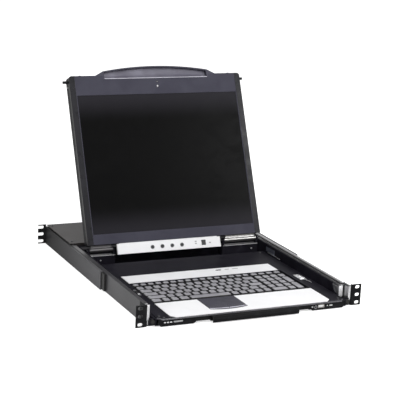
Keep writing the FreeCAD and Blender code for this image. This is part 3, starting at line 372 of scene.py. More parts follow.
# Painted highlight: a lighter, glossier copy of the slate paint for the deck's rounded nose.
nose_lit_paint = powder_coat("deck_nose_paint", (0.034, 0.033, 0.040), (0.048, 0.046, 0.055),
                         (0.22, 0.22, 0.24), 0.22, peel=0.0016, depth=0.00002, shine=0.50)
print("powder coats:", black_steel.name, cover_grey.name, slate_paint.name)

# %% [markdown]
# ## Bare metal
# The slides are rolled strip with a bright zinc plate, whose sheen drifts from one patch to the
# next and carries the fine lines of the rolls. The hinge barrels are turned and polished, so
# their lines run round, and the left one is a darker copy of their metal as painted shade. The
# power supply's case is galvanised, which shows as large crystals.


# %% Plated and turned metals
def rolled_metal(name, dark, light, gloss, along, spangle=0.0, depth=0.00001):
    """Strip metal with its rolling lines along an axis, and crystals where spangle is set."""
    metal = Finish(name)
    stretch = tuple(1.0 if axis == along else 40.0 for axis in "XYZ")
    lines = metal.noise(0.02, detail=4, place=metal.stretched(stretch))
    drift = metal.noise(0.03, detail=3)
    stain = metal.noise(0.007, detail=4, roughness=0.65).ease(0.5, 0.8)
    tone = lines * 0.55 + drift * 0.45
    if spangle:
        tone = tone * 0.5 + metal.cells(spangle) * 0.7
    colour = metal.blend(tone.ease(0.25, 0.75), dark, light)
    colour = metal.blend(stain * 0.35, colour, tuple(0.55 * v for v in dark))
    return metal.coat({"Base Color": colour, "Metallic": 1 - stain * 0.25,
                       "Roughness": gloss + lines * 0.14 + stain * 0.22},
                      lines * 0.8 + drift * 0.2, depth, rounding=0.0004)


zinc = rolled_metal("bright_zinc", (0.40, 0.40, 0.41), (0.62, 0.62, 0.63), 0.26, "Y")
barrel_metal = rolled_metal("polished_barrel", (0.35, 0.343, 0.335), (0.44, 0.433, 0.425), 0.24,
                            "X", depth=0)
# Painted shade: the left barrel is a darker copy of the polished barrel metal.
dull_barrel = rolled_metal("dull_barrel", (0.10, 0.096, 0.10), (0.15, 0.146, 0.15), 0.34, "X",
                           depth=0)
galvanised = rolled_metal("galvanised_case", (0.38, 0.39, 0.40), (0.62, 0.62, 0.63), 0.36, "X",
                          spangle=0.006)
nickel = rolled_metal("nickel_shell", (0.52, 0.50, 0.47), (0.68, 0.66, 0.62), 0.22, "X")
pin_steel = rolled_metal("ground_pin", (0.40, 0.40, 0.40), (0.56, 0.56, 0.56), 0.26, "X")
catch_metal = rolled_metal("bright_catch", (0.62, 0.62, 0.63), (0.82, 0.82, 0.83), 0.24, "Y")
plate_metal = rolled_metal("blued_plate", (0.34, 0.37, 0.45), (0.48, 0.51, 0.60), 0.30, "Y")
screw_black = rolled_metal("blackened_screw", (0.030, 0.030, 0.032), (0.075, 0.075, 0.08), 0.34,
                           "X")
screw_zinc = rolled_metal("zinc_screw", (0.48, 0.48, 0.49), (0.68, 0.68, 0.69), 0.26, "X")
print("metals:", zinc.name, barrel_metal.name, galvanised.name)

# %% [markdown]
# ## Moulded plastics
# A mould is eaten by sparks to a fine grain, and the plastic takes that grain over. Handled
# corners turn smooth and shiny, and the colour drifts a little with the flow of the melt. The
# recipe takes the grain's size and depth, so that it serves for satin keys, matt white trim and
# the smooth frame of the screen.


# %% Plastics
# Painted shade for the lower sides of the key caps and the outer sides of the trims.
FOOT_SHADE, FLANK_SHADE = (0.008, 0.008, 0.009), (0.004, 0.004, 0.005)


def moulded(name, dark, light, gloss, grain=0.0004, depth=0.00002, rub=None, wear=0.5,
            rounding=0.0005, shine=0.4, shaded_foot=None, shaded_flank=None):
    """Injection moulding with a sparked grain, with painted shade down to a foot and past a flank."""
    plastic = Finish(name)
    flow = plastic.noise(0.06, detail=3, distortion=0.6)
    sparks = plastic.cells(grain)
    fine = plastic.noise(grain * 2.4, detail=2)
    handled = plastic.noise(0.02, detail=4, roughness=0.62).ease(0.42, 0.72)
    rim = plastic.edges(0.0006) * wear
    colour = plastic.blend(flow.ease(0.3, 0.7), dark, light)
    colour = plastic.blend(rim, colour, rub or tuple(min(1, 1.25 * v) for v in light))
    # Painted shade: darker down towards the foot.
    if shaded_foot:
        colour = plastic.blend(plastic.part("Z").ease(*shaded_foot), FOOT_SHADE, colour)
    # Painted shade: darker on the faces past the flank.
    if shaded_flank:
        colour = plastic.blend(plastic.part("X").size() > shaded_flank, colour, FLANK_SHADE)
    return plastic.coat({"Base Color": colour,
                         "Roughness": gloss + fine * 0.12 - handled * 0.10,
                         "IOR": 1.48, "Specular IOR Level": shine},
                        sparks * 0.6 + fine * 0.4, depth, rounding=rounding)


white_plastic = moulded("matt_white_trim", (0.82, 0.82, 0.835), (0.86, 0.86, 0.875), 0.50,
                        rub=(0.88, 0.88, 0.89))
key_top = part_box("typing_keys")[1].z
# Painted shade darkens the sides of the caps towards their foot.
key_plastic = moulded("satin_key", (0.225, 0.220, 0.243), (0.298, 0.293, 0.320), 0.46,
                      rub=(0.55, 0.55, 0.57), wear=0.9, grain=0.0003, shine=0.3,
                      shaded_foot=(key_top - 1.5 * MM, key_top - 0.35 * MM))
key_pan = moulded("black_key_pan", (0.004, 0.004, 0.005), (0.008, 0.008, 0.009), 0.6, shine=0.1)
touch_plastic = moulded("touchpad_skin", (0.038, 0.0365, 0.049), (0.049, 0.047, 0.062), 0.44,
                        grain=0.00025, depth=0.00001, rub=(0.22, 0.22, 0.25), shine=0.2)
bezel_plastic = moulded("slate_bezel", (0.035, 0.034, 0.050), (0.045, 0.044, 0.062), 0.48,
                        grain=0.0005, rub=(0.13, 0.13, 0.17), shine=0.14)
back_plastic = moulded("black_display_back", (0.007, 0.007, 0.008), (0.011, 0.011, 0.013), 0.50,
                       grain=0.0006, rub=(0.09, 0.09, 0.10), shine=0.12)
# Painted shade darkens the outer sides of the trims.
trim_plastic = moulded("satin_side_trim", (0.008, 0.008, 0.010), (0.013, 0.0125, 0.016), 0.28,
                       rub=(0.14, 0.14, 0.16), shine=0.14,
                       shaded_flank=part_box("side_trims")[1].x - 0.3 * MM)
handle_plastic = moulded("blue_grey_grip", (0.040, 0.039, 0.056), (0.052, 0.050, 0.070), 0.46,
                         rub=(0.20, 0.20, 0.24), shine=0.2)
# Painted light: the liner is lighter, standing for light on the pocket's walls.
lit_pocket_plastic = moulded("grip_pocket_liner", (0.105, 0.100, 0.130), (0.165, 0.160, 0.200), 0.50)
# Painted highlight: pale lines for the grip lip and the touchpad rims.
highlight_lip_plastic = moulded("bright_grip_lip", (0.50, 0.49, 0.56), (0.62, 0.61, 0.68), 0.40, wear=0)
nylon = moulded("black_nylon", (0.014, 0.014, 0.014), (0.022, 0.022, 0.022), 0.48, shine=0.2)
button_plastic = moulded("black_button", (0.012, 0.012, 0.014), (0.020, 0.020, 0.023), 0.34,
                         rub=(0.12, 0.12, 0.13))
inlet_plastic = moulded("black_inlet", (0.014, 0.014, 0.014), (0.022, 0.022, 0.022), 0.30,
                        depth=0.00001)
rubber = moulded("black_rubber", (0.016, 0.016, 0.016), (0.026, 0.025, 0.024), 0.72,
                 grain=0.0008, depth=0.00004, shine=0.2)
mark_white = moulded("printed_white", (0.66, 0.66, 0.67), (0.76, 0.76, 0.77), 0.5,
                     rounding=0, wear=0)
# Grey of print, and also a painted highlight on the hinge housings' rims.
print_and_highlight_grey = moulded("printed_grey", (0.30, 0.30, 0.31), (0.38, 0.38, 0.39), 0.5,
                    rounding=0, wear=0)
print("plastics:", white_plastic.name, key_plastic.name, bezel_plastic.name)

# %% [markdown]
# ## Screen, lamps and circuit board
# An idle screen is a stack of glass and dark filters: black, with a soft gloss, a
# slightly lighter sheen towards its long edges, which is a painted reflection, and a little
# dust. The lamps are clear lenses over a dark well, and the circuit board has a solder mask
# over copper tracks.


# %% Screen glass, lens and solder mask
def screen_finish(low, high):
    """Idle screen between two heights of its node."""
    glass = Finish("idle_screen")
    rise = (glass.part("Z") - low) / (high - low)
    # Painted reflection: the colour turns lighter towards the long edges.
    rim = ((rise - 0.5).size() * 2).ease(0.60, 1.0)
    cells = glass.cells(0.0005)
    dust = glass.noise(0.0012, detail=3, roughness=0.7).ease(0.66, 0.8)
    smear = glass.noise(0.05, detail=3, distortion=1.2).ease(0.4, 0.7)
    colour = glass.blend(rim, (0.0016, 0.0016, 0.0017), (0.019, 0.018, 0.022))
    colour = glass.blend(dust * 0.3, colour, (0.05, 0.05, 0.05))
    return glass.coat({"Base Color": colour, "IOR": 1.40, "Specular IOR Level": 0.05,
                       "Roughness": 0.30 + smear * 0.08 + dust * 0.2},
                      cells + dust * 0.5, 0.000004)


def lens_finish(name, dark, light, glow):
    """Clear lens of a lamp, lighter in its middle cells."""
    lens = Finish(name)
    spark = lens.cells(0.0009)
    haze = lens.noise(0.0015, detail=2)
    colour = lens.blend(spark.ease(0.1, 0.7), light, dark)
    return lens.coat({"Base Color": colour, "Roughness": 0.10 + haze * 0.10, "Coat Weight": 0.6,
                      "Emission Color": colour, "Emission Strength": glow}, haze, 0.00002)


def board_finish():
    """Green solder mask over copper tracks."""
    board = Finish("solder_mask")
    tracks = board.add("ShaderNodeTexBrick", {"offset": 0.5},
                       {"Vector": board.place, "Scale": 120.0, "Mortar Size": 0.035,
                        "Color1": (0, 0, 0), "Color2": (0, 0, 0), "Mortar": (1, 1, 1)},
                       out="Fac")
    pads = board.cells(0.004).ease(0.16, 0.10)
    haze = board.noise(0.02, detail=3)
    colour = board.blend(haze, (0.010, 0.075, 0.030), (0.016, 0.105, 0.045))
    colour = board.blend(tracks * 0.6, colour, (0.03, 0.17, 0.07))
    colour = board.blend(pads * 0.7, colour, (0.55, 0.50, 0.32))
    return board.coat({"Base Color": colour, "Roughness": 0.34 + haze * 0.12},
                      tracks * 0.5 + pads, 0.00008)


lcd_low, lcd_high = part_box("lcd_panel")
idle_screen = screen_finish(lcd_low.z, lcd_high.z)
clear_lens = lens_finish("clear_lens", (0.42, 0.42, 0.45), (0.82, 0.82, 0.85), 0.05)
dark_lens = lens_finish("smoked_lens", (0.010, 0.010, 0.012), (0.03, 0.03, 0.036), 0.0)
solder_mask = board_finish()
print("screen from", round(lcd_low.z, 3), "to", round(lcd_high.z, 3), "m high")

# %% [markdown]
# ## Dressing the construction
# Most nodes already have the right shape, so they keep it and only take a finish. The record
# says which material slot each node has, and one table turns slots into finishes. A few nodes
# differ from their slot's usual finish: the ears, the front handle, the fascia and the rear
# sleeves are blacker than the tray as painted shade, the sleeves are painted paler towards
# their front as painted light, and the left hinge barrel is darker as painted shade.

# %% Finishes of the nodes
SLOT_FINISHES = {
    "black_steel": black_steel, "cover_grey": cover_grey, "slate_paint": slate_paint,
    "zinc": zinc, "barrel_metal": barrel_metal, "nylon": nylon, "rubber": rubber,
    "white_plastic": white_plastic, "key_plastic": key_plastic, "key_pan": key_pan,
    "touchpad_plastic": touch_plastic, "bezel_plastic": bezel_plastic,
    "trim_plastic": trim_plastic, "handle_plastic": handle_plastic,
    "screen_glass": idle_screen, "button_plastic": button_plastic, "connector_metal": nickel,
    "inlet_plastic": inlet_plastic, "circuit_board": solder_mask, "supply_steel": galvanised,
    "pin_steel": pin_steel}
NODE_FINISHES = {"left_ear": shaded_ear_black, "right_ear": shaded_ear_black, "front_handle": shaded_ear_black,
                 "front_fascia": shaded_ear_black, "display_back": back_plastic,
                 "latch_hooks": back_plastic, "right_release_catch": catch_metal,
                 "left_hinge_barrel": dull_barrel, "chassis_tray": tray_black,
                 "left_rear_bracket": shaded_sleeve_black, "right_rear_bracket": shaded_sleeve_black}
for part in frame["record"]["subparts"]:
    finish = NODE_FINISHES.get(part["node"], SLOT_FINISHES[part["material_slot"]])
    for held in frame["nodes"][part["node"]].material_slots:
        held.material = finish

# %% [markdown]
# ## Making pieces
# A new piece is a mesh with its place in it, one finish, and the body that it rides on. Faces
# shade smoothly across a rounding and stay crisp at a fold, which an angle limit decides.


# %% From a mesh to a piece
def finished(name, mesh, finish, body, slot, replaced=(), angle=35):
    """Makes the mesh a piece that rides on a body."""
    mesh.name = name
    if not mesh.materials:
        mesh.materials.append(finish)
    mesh.shade_smooth()
    mesh.set_sharp_from_angle(angle=math.radians(angle))
    piece = linked(name, mesh)
    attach(piece, body)
    if replaced:
        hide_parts(*replaced)
    print(name, "rides on", body, "with", len(mesh.polygons), "faces")


def from_shapes(name, shapes, finish, body, slot, place=Matrix(), **more):
    """Joins bmesh shapes into one piece, after moving them to their place."""
    whole = bmesh.new()
    for shape in shapes:
        shape.transform(place)
        held = bpy.data.meshes.new("held")
        shape.to_mesh(held)
        shape.free()
        whole.from_mesh(held)
        bpy.data.meshes.remove(held)
    bmesh.ops.recalc_face_normals(whole, faces=whole.faces)
    mesh = bpy.data.meshes.new(name)
    whole.to_mesh(mesh)
    whole.free()
    finished(name, mesh, finish, body, slot, **more)


def drawn(holder):
    """Mesh of an object as its curve or its tree draws it; the object itself goes."""
    bpy.context.view_layer.update()
    mesh = bpy.data.meshes.new_from_object(
        holder.evaluated_get(bpy.context.evaluated_depsgraph_get()))
    holder.modifiers.clear()
    bpy.data.objects.remove(holder)
    return mesh


print("pieces can be made from meshes, shapes, curves and trees")

# %% Shapes for small pieces
CORNER_PULL = 1.3  # how far a chamfer moves a corner inwards, in chamfers


def block(low, high, edge):
    """Block between two corners with rounded edges."""
    shape = bmesh.new()
    bmesh.ops.create_cube(shape, size=1)
    low, high = Vector(low), Vector(high)
    for vertex in shape.verts:
        vertex.co = Vector([low[i] + (high[i] - low[i]) * (vertex.co[i] + 0.5)
                            for i in range(3)])
    if edge:
        bmesh.ops.bevel(shape, geom=shape.edges[:], offset=edge, segments=2, profile=0.5,
                        affect="EDGES")
    return shape


def skinned(rings, loop=False):
    """Shape whose skin runs from ring to ring: its ends are closed, or meet in a loop."""
    shape = bmesh.new()
    rings = [[shape.verts.new(spot) for spot in ring] for ring in rings]
    for one, two in zip(rings, rings[1:] + (rings[:1] if loop else [])):
        for i in range(len(one)):
            j = (i + 1) % len(one)
            shape.faces.new((one[i], one[j], two[j], two[i]))
    if not loop:
        shape.faces.new(rings[0][::-1])
        shape.faces.new(rings[-1])
    return shape


def facing(axis, across, up, level):
    """Place that lies across, up and at a level along an axis."""
    return {"Z": (across, up, level), "Y": (across, level, up), "X": (level, across, up)}[axis]


def prism(outline, low, high, edge=0.0, axis="Z"):
    """Outline in a plane, given a thickness along an axis, with its upper rim chamfered."""
    levels = [(low, 0.0), (high - math.copysign(edge, high - low), 0.0)]
    levels += [(high, edge * CORNER_PULL)] if edge else []
    middle = sum((Vector(point) for point in outline), Vector((0, 0))) / len(outline)
    rings = []
    for level, inset in levels:
        spots = [Vector(point) - (Vector(point) - middle).normalized() * inset
                 for point in outline]
        rings.append([facing(axis, spot.x, spot.y, level) for spot in spots])
    return skinned(rings)


def rounded_outline(low, high, radius, steps=5):
    """Outline of a rectangle with round corners."""
    centres = [(high[0] - radius, high[1] - radius, 0), (low[0] + radius, high[1] - radius, 1),
               (low[0] + radius, low[1] + radius, 2), (high[0] - radius, low[1] + radius, 3)]
    return [(x + radius * math.cos(math.radians(90 * (quarter + step / steps))),
             y + radius * math.sin(math.radians(90 * (quarter + step / steps))))
            for x, y, quarter in centres for step in range(steps + 1)]


def turned(profile, centre, axis="Z", steps=24, loop=False):
    """Shape turned about an axis, from pairs of radius and height."""
    turns = [2 * math.pi * step / steps for step in range(steps)]
    return skinned([[Vector(centre) + Vector(facing(axis, radius * math.cos(turn),
                                                    radius * math.sin(turn), height))
                     for turn in turns] for radius, height in profile], loop)


def hoop(inner, outer, low, high, centre, axis="Z", steps=28):
    """Flat ring with a small chamfer on its outer rim."""
    chamfer = (high - low) * 0.4
    return turned([(inner, low), (outer, low), (outer, high - chamfer),
                   (outer - abs(chamfer), high), (inner, high)], centre, axis, steps, loop=True)


def mm(pairs):
    """Pairs in millimetres, as metres."""
    return [(one * MM, two * MM) for one, two in pairs]


print("shapes: block, prism, turned, hoop")

# %% [markdown]
# ## The key caps
# A low key cap is a tapered tray, chamfered round its top, with a faint dish that centres the
# finger. A hundred of them differ only in their width and depth. Instances that were merely
# stretched would get stretched chamfers too, so the rule works the other way round: one small
# grid of corners is put on every key's place, made real, and then each corner moves to where the
# rule wants it for that key's own size.

# %% Rule for a key cap
CAP_HEIGHT, CAP_TAPER, CAP_CHAMFER, CAP_DISH = 2.9 * MM, 2.3 * MM, 0.45 * MM, 0.30 * MM
CAP_PLAY = 1.0 * MM
STEM_WIDE, STEM_DEEP, STEM_LAP = 3.6 * MM, 4.4 * MM, 0.3 * MM


def new_rule(name, numbers, seed=None):
    """Graph of a geometry tree that takes points, named numbers and a finish."""
    tree = bpy.data.node_groups.new(name, "GeometryNodeTree")

    def socket(label, kind, value=None, way="INPUT"):
        made = tree.interface.new_socket(label, in_out=way, socket_type="NodeSocket" + kind)
        if value is not None:
            made.default_value = value

    socket("Geometry", "Geometry")
    for label, value in numbers.items():
        socket(label, "Float", value)
    if seed is not None:
        socket("Seed", "Int", seed)
    socket("Finish", "Material")
    socket("Geometry", "Geometry", way="OUTPUT")
    graph = Graph(tree)
    return graph, graph.add("NodeGroupInput")


def moved(graph, geometry, shift):
    """Geometry moved by a vector."""
    return graph.add("GeometryNodeTransform", None, {"Geometry": geometry, "Translation": shift})


def on_points(graph, given, shape, **turn):
    """Shape put on every point that the tree is given."""
    return graph.add("GeometryNodeInstanceOnPoints", None,
                     {"Points": given.of("Geometry"), "Instance": shape, **turn})


def closed_rule(graph, given, geometry):
    """Ends a tree: its instances are made real and take the finish."""
    real = graph.add("GeometryNodeRealizeInstances", None, {"Geometry": geometry})
    done = graph.add("GeometryNodeSetMaterial", None,
                     {"Geometry": real, "Material": given.of("Finish")})
    graph.add("NodeGroupOutput", None, {"Geometry": done})
    return graph.tree


def key_tree():
    """Tree that turns points with a wide and a deep value into key caps with stems."""
    graph, given = new_rule("key_caps", {
        "Height": CAP_HEIGHT, "Taper": CAP_TAPER, "Chamfer": CAP_CHAMFER, "Dish": CAP_DISH,
        "Stem Width": STEM_WIDE, "Stem Depth": STEM_DEEP})

    def stored(name):
        return graph.add("GeometryNodeInputNamedAttribute", {"data_type": "FLOAT"},
                         {"Name": name})

    grid = graph.add("GeometryNodeMeshCube", None,
                     {"Size": (1, 1, 1), "Vertices X": 6, "Vertices Y": 6, "Vertices Z": 2})
    spot = graph.add("GeometryNodeInputPosition")
    kept = graph.add("GeometryNodeStoreNamedAttribute",
                     {"data_type": "FLOAT_VECTOR", "domain": "POINT"},
                     {"Geometry": grid, "Name": "corner", "Value": spot})
    real = graph.add("GeometryNodeRealizeInstances", None,
                     {"Geometry": on_points(graph, given, kept)})
    corner = graph.add("GeometryNodeInputNamedAttribute", {"data_type": "FLOAT_VECTOR"},
                       {"Name": "corner"})
    split = graph.add("ShaderNodeSeparateXYZ", None, {0: corner})
    upper = split.of("Z") > 0

    def along(name, size):
        """Place of a corner along one side of the cap, and whether it is in the outer ring."""
        cut = split.of(name)
        outer = cut.size() > 0.4
        inner = cut.size() < 0.2
        half = stored(size) * 0.5
        top = outer * (half - given.of("Taper") * 0.6) \
            + (1 - outer - inner) * (half - given.of("Taper") - given.of("Chamfer") * 0.3) \
            + inner * half * 0.34
        low = outer * half + (1 - outer - inner) * half * 0.8 + inner * half * 0.3
        return cut.sign() * (upper * top + (1 - upper) * low), outer, inner

    across, outer_x, inner_x = along("X", "wide")
    deep, outer_y, inner_y = along("Y", "deep")
    both = outer_x * outer_y * given.of("Chamfer")
    across = across - split.of("X").sign() * both
    deep = deep - split.of("Y").sign() * both
    edge = outer_x.maths("MAXIMUM", outer_x, outer_y)
    level = upper * (given.of("Height") - edge * given.of("Chamfer")
                     - inner_x * inner_y * given.of("Dish"))
    target = graph.vector(across, deep, level)
    centre = graph.add("ShaderNodeVectorMath", {"operation": "SUBTRACT"}, {0: spot, 1: corner})
    final = graph.add("ShaderNodeVectorMath", {"operation": "ADD"}, {0: centre, 1: target})
    caps = graph.add("GeometryNodeSetPosition", None, {"Geometry": real, "Position": final})
    size = graph.vector(given.of("Stem Width"), given.of("Stem Width"), given.of("Stem Depth"))
    post = graph.add("GeometryNodeMeshCube", None, {"Size": size})
    post = moved(graph, post, graph.vector(z=given.of("Stem Depth") * -0.5 + STEM_LAP))
    joined = graph.add("GeometryNodeJoinGeometry", None,
                       {"Geometry": [caps, on_points(graph, given, post)]})
    return closed_rule(graph, given, joined)


key_rule = key_tree()
print("key cap:", round(CAP_HEIGHT / MM, 1), "mm high, with a stem", round(STEM_DEEP / MM, 1),
      "mm deep")


# %% Running a geometry tree
def grown(name, tree, spots, values, **inputs):
    """Mesh that a geometry tree grows on points that carry named values."""
    cloud = bpy.data.meshes.new(name + "_points")
    cloud.from_pydata(spots, [], [])
    for label, numbers in values.items():
        vector = hasattr(numbers[0], "__len__")
        layer = cloud.attributes.new(label, "FLOAT_VECTOR" if vector else "FLOAT", "POINT")
        flat = [v for number in numbers for v in number] if vector else numbers
        layer.data.foreach_set("vector" if vector else "value", flat)
    holder = linked(name + "_points", cloud)
    modifier = holder.modifiers.new("grown", "NODES")
    modifier.node_group = tree
    for socket in tree.interface.items_tree:
        if socket.in_out == "INPUT" and socket.name in inputs:
            modifier[socket.identifier] = inputs[socket.name]
    mesh = drawn(holder)
    for label in [held.name for held in mesh.attributes if held.name in (*values, "corner")]:
        mesh.attributes.remove(mesh.attributes[label])
    return mesh


print("a tree is run on points that carry its values")

# %% A cap for every key
key_faces = 0
key_boxes = {}
for node in ("function_keys", "typing_keys", "modifier_keys", "space_bar", "number_pad_keys"):
    boxes = key_boxes[node] = lumps(node)
    low_face = boxes[0][1].z - CAP_HEIGHT
    mesh = grown(node, key_rule, [((a.x + b.x) / 2, (a.y + b.y) / 2, low_face) for a, b in boxes],
                 {"wide": [b.x - a.x - CAP_PLAY for a, b in boxes],
                  "deep": [b.y - a.y - CAP_PLAY for a, b in boxes]},
                 Finish=key_plastic)
    finished("caps_" + node, mesh, key_plastic, node + "_body", "key_plastic", [node], angle=50)
    key_faces += len(mesh.polygons)
print("keyboard:", sum(len(b) for b in key_boxes.values()), "caps,", key_faces, "faces")

# %% [markdown]
# ## Screws and rivets
# The same few fixings hold the whole drawer: small pan-head screws with a cross recess, and
# plain rivets. The recess could be a texture, but light falls into a real one. The tree makes a
# head once, cuts a cross from it, and puts it on every point, turned to the point's own axis and
# spun by a seeded random angle, since no two screws stop at the same turn.

# %% Tree of screw heads
SPIN_SEED = 7
HEAD_SIDES, HEAD_TOP, HEAD_SUNK = 20, 0.70, 0.2
CROSS_LONG, CROSS_WIDE, CROSS_DEEP, CROSS_LEVEL = 1.15, 0.26, 1.2, 1.05


def fixing_tree(name, recess):
    """Tree of fixings on points that carry an axis: screws with a cross, or plain rivets."""
    graph, given = new_rule(name, {"Radius": 3 * MM, "Height": 1 * MM}, SPIN_SEED)
    radius, height = given.of("Radius"), given.of("Height")
    head = graph.add("GeometryNodeMeshCone", None,
                     {"Vertices": HEAD_SIDES, "Radius Bottom": radius,
                      "Radius Top": radius * HEAD_TOP, "Depth": height * (1 + HEAD_SUNK)})
    head = moved(graph, head, graph.vector(z=height * -HEAD_SUNK))
    if recess:
        for wide, deep in ((CROSS_LONG, CROSS_WIDE), (CROSS_WIDE, CROSS_LONG)):
            size = graph.vector(radius * wide, radius * deep, height * CROSS_DEEP)
            arm = graph.add("GeometryNodeMeshCube", None, {"Size": size})
            arm = moved(graph, arm, graph.vector(z=height * CROSS_LEVEL))
            head = graph.add("GeometryNodeMeshBoolean", {"operation": "DIFFERENCE"},
                             {0: head, 1: arm})
    axis = graph.add("GeometryNodeInputNamedAttribute", {"data_type": "FLOAT_VECTOR"},
                     {"Name": "axis"})
    turn = graph.add("FunctionNodeAlignRotationToVector", {"axis": "Z"}, {"Vector": axis})
    angle = graph.add("FunctionNodeRandomValue", {"data_type": "FLOAT"},
                      {2: 0.0, 3: math.pi, "Seed": given.of("Seed")}, out=1)
    spin = graph.add("FunctionNodeAxisAngleToRotation", None,
                     {"Axis": (0, 0, 1), "Angle": angle})
    turn = graph.add("FunctionNodeRotateRotation", {"rotation_space": "LOCAL"},
                     {0: turn, 1: spin})
    return closed_rule(graph, given, on_points(graph, given, head, Rotation=turn))


screw_rule = fixing_tree("cross_screws", True)
rivet_rule = fixing_tree("rivets", False)
print("rules:", screw_rule.name, rivet_rule.name)


# %% Fixings on their seats
def fixings(name, rule, seats, radius, height, finish, body, slot, replaced=()):
    """Fixings on seats, each a point on a surface with the direction away from it."""
    mesh = grown(name, rule, [tuple(spot) for spot, _ in seats],
                 {"axis": [tuple(axis) for _, axis in seats]},
                 Radius=radius, Height=height, Finish=finish)
    finished(name, mesh, finish, body, slot, replaced, angle=30)


def seats_of(node):
    """Seat, axis, radius and height of each screw head in a node, from its flat box."""
    middle = (cad_box[0] + cad_box[1]) / 2
    found = []
    for low, high in lumps(node):
        size, centre = high - low, (low + high) / 2
        thin = min(range(3), key=lambda i: size[i])
        axis = Vector([0, 0, 0])
        axis[thin] = 1 if thin == 2 or centre[thin] > middle[thin] else -1
        found.append((centre - axis * size[thin] / 2, axis, size))
    return found


for node, body, slot in (("chassis_screws", "chassis", "black_steel"),
                         ("deck_screws", "drawer", "slate_paint")):
    found = seats_of(node)
    wide = max(max(size) for _, _, size in found) / 2
    tall = min(min(size) for _, _, size in found)
    print(node, len(found), "heads, radius", round(wide / MM, 2), "mm, height",
          round(tall / MM, 2), "mm")
    fixings(node + "_heads", screw_rule, [(spot, axis) for spot, axis, _ in found], wide,
            tall, screw_black, body, slot, [node])

# %% [markdown]
# ## Marks on the keys
# A real key has its sign printed in pale ink at the upper left. Here the digits of the number
# row and of the number pad are set as plain text and made into meshes, and the other keys carry
# a small dot or bar, which no language owns. All of them lie a few hundredths of a millimetre
# proud, as ink does.

# %% Digits, dots and bars
INK, INK_SIZE, MARK_MARGIN = 0.03 * MM, 5.4 * MM, 0.6 * MM
DIGIT_DROP, BAR_DROP, DOT_DROP, PLAIN_DROP, PAD_DROP = (v * MM for v in (4.1, 1.8, 4.2, 1.5, 2.0))
BAR_LENGTHS, BAR_WIDE, PLAIN_WIDE = (2.0 * MM, 3.8 * MM, 2.8 * MM), 1.5 * MM, 1.3 * MM
DOT_LONG, DOT_WIDE, PAD_LONG = 1.6 * MM, 1.4 * MM, 3.4 * MM


def digit_shape(text, spot):
    """Digit as a flat mesh with the thickness of ink, its lower left below spot."""
    curve = bpy.data.curves.new("digit", "FONT")
    curve.body, curve.size, curve.extrude = text, INK_SIZE, INK / 2
    curve.resolution_u = 2
    mesh = drawn(linked("digit", curve))
    shape = bmesh.new()
    shape.from_mesh(mesh)
    bmesh.ops.remove_doubles(shape, verts=shape.verts, dist=1e-7)
    bmesh.ops.translate(shape, verts=shape.verts, vec=spot - Vector((0, DIGIT_DROP, 0)))
    bpy.data.curves.remove(curve)
    bpy.data.meshes.remove(mesh)
    return shape


def bar_shape(spot, drop, long, wide):
    """Small bar of ink with its corner a drop below spot."""
    low = spot - Vector((0, drop, INK / 2))
    return block(low, low + Vector((long, wide, INK)), 0)


def mark_places(node):
    """Upper left of the flat part of each cap, row by row from the front."""
    edge = CAP_TAPER + MARK_MARGIN
    return [Vector((low.x + edge, high.y - edge, high.z)) for low, high in
            sorted(key_boxes[node], key=lambda pair: (round(pair[0].y, 3), pair[0].x))]


def mark_keys(name, node, shapes):
    from_shapes(name, shapes, mark_white, node + "_body", "key_plastic")


places = mark_places("typing_keys")
number_row = places[-13:]
shapes = [digit_shape(str((i + 1) % 10), spot) for i, spot in enumerate(number_row[1:11])]
for i, spot in enumerate(places[:-13] + [number_row[0]] + number_row[11:]):
    shapes.append(bar_shape(spot, BAR_DROP, BAR_LENGTHS[i % 3], BAR_WIDE))
    if i % 3 == 2:
        shapes.append(bar_shape(spot, DOT_DROP, DOT_LONG, DOT_WIDE))
mark_keys("marks_typing_keys", "typing_keys", shapes)
PAD_SIGNS = ("0", ".", "", "1", "2", "3", "4", "5", "6", "", "7", "8", "9", "", "", "", "")
mark_keys("marks_number_pad", "number_pad_keys",
          [digit_shape(sign, spot) if sign.isdigit()
           else bar_shape(spot, PAD_DROP, PAD_LONG, PLAIN_WIDE)
           for sign, spot in zip(PAD_SIGNS, mark_places("number_pad_keys"))])
for node, long in (("modifier_keys", 5.2 * MM), ("function_keys", 4.2 * MM)):
    mark_keys("marks_" + node, node, [bar_shape(spot, PLAIN_DROP, long, PLAIN_WIDE)
                                      for spot in mark_places(node)])

# %% [markdown]
# ## The display's own frame
# The display leans back about its hinge, so its details are easiest to place as if it stood
# upright: across, in depth, and up from the hinge line. One matrix then leans them back, and its
# inverse gives the boxes of the display's nodes in the same upright frame.

# %% Upright frame of the display
HINGE = Vector(tilt["pos_m"])
LEAN = math.radians(tilt["range_deg"][1] - 90)
leaned = Matrix.Translation(HINGE) @ Matrix.Rotation(-LEAN, 4, "X")


def upright_box(node):
    """Box of a display node in the upright frame."""
    return extent([leaned.inverted() @ vertex.co
                   for vertex in frame["nodes"][node].data.vertices])


bezel_low, bezel_high = upright_box("display_bezel")
trim_low, trim_high = upright_box("side_trims")
grip_low, grip_high = upright_box("display_handle")
rear = upright_box("display_back")[1].y
strip_face = upright_box("control_strip")[0].y
face = bezel_low.y
print("display upright, mm:", [round(v / MM, 1) for v in (*bezel_low, *bezel_high)])


def on_display(name, shapes, finish, slot):
    """Piece of the display, from shapes in the upright frame."""
    from_shapes(name, shapes, finish, "display", slot, leaned)

# %% [markdown]
# ## Grip pocket
# The finger pocket under the arch of the grip is lined by a piece painted lighter, as painted
# light on the pocket's walls, whose floor sweeps forward to a fine lip painted bright as a
# highlight. The liner's top follows the arch, so it is made column by column: each column ends
# where the arch, less its rim, is at that place.

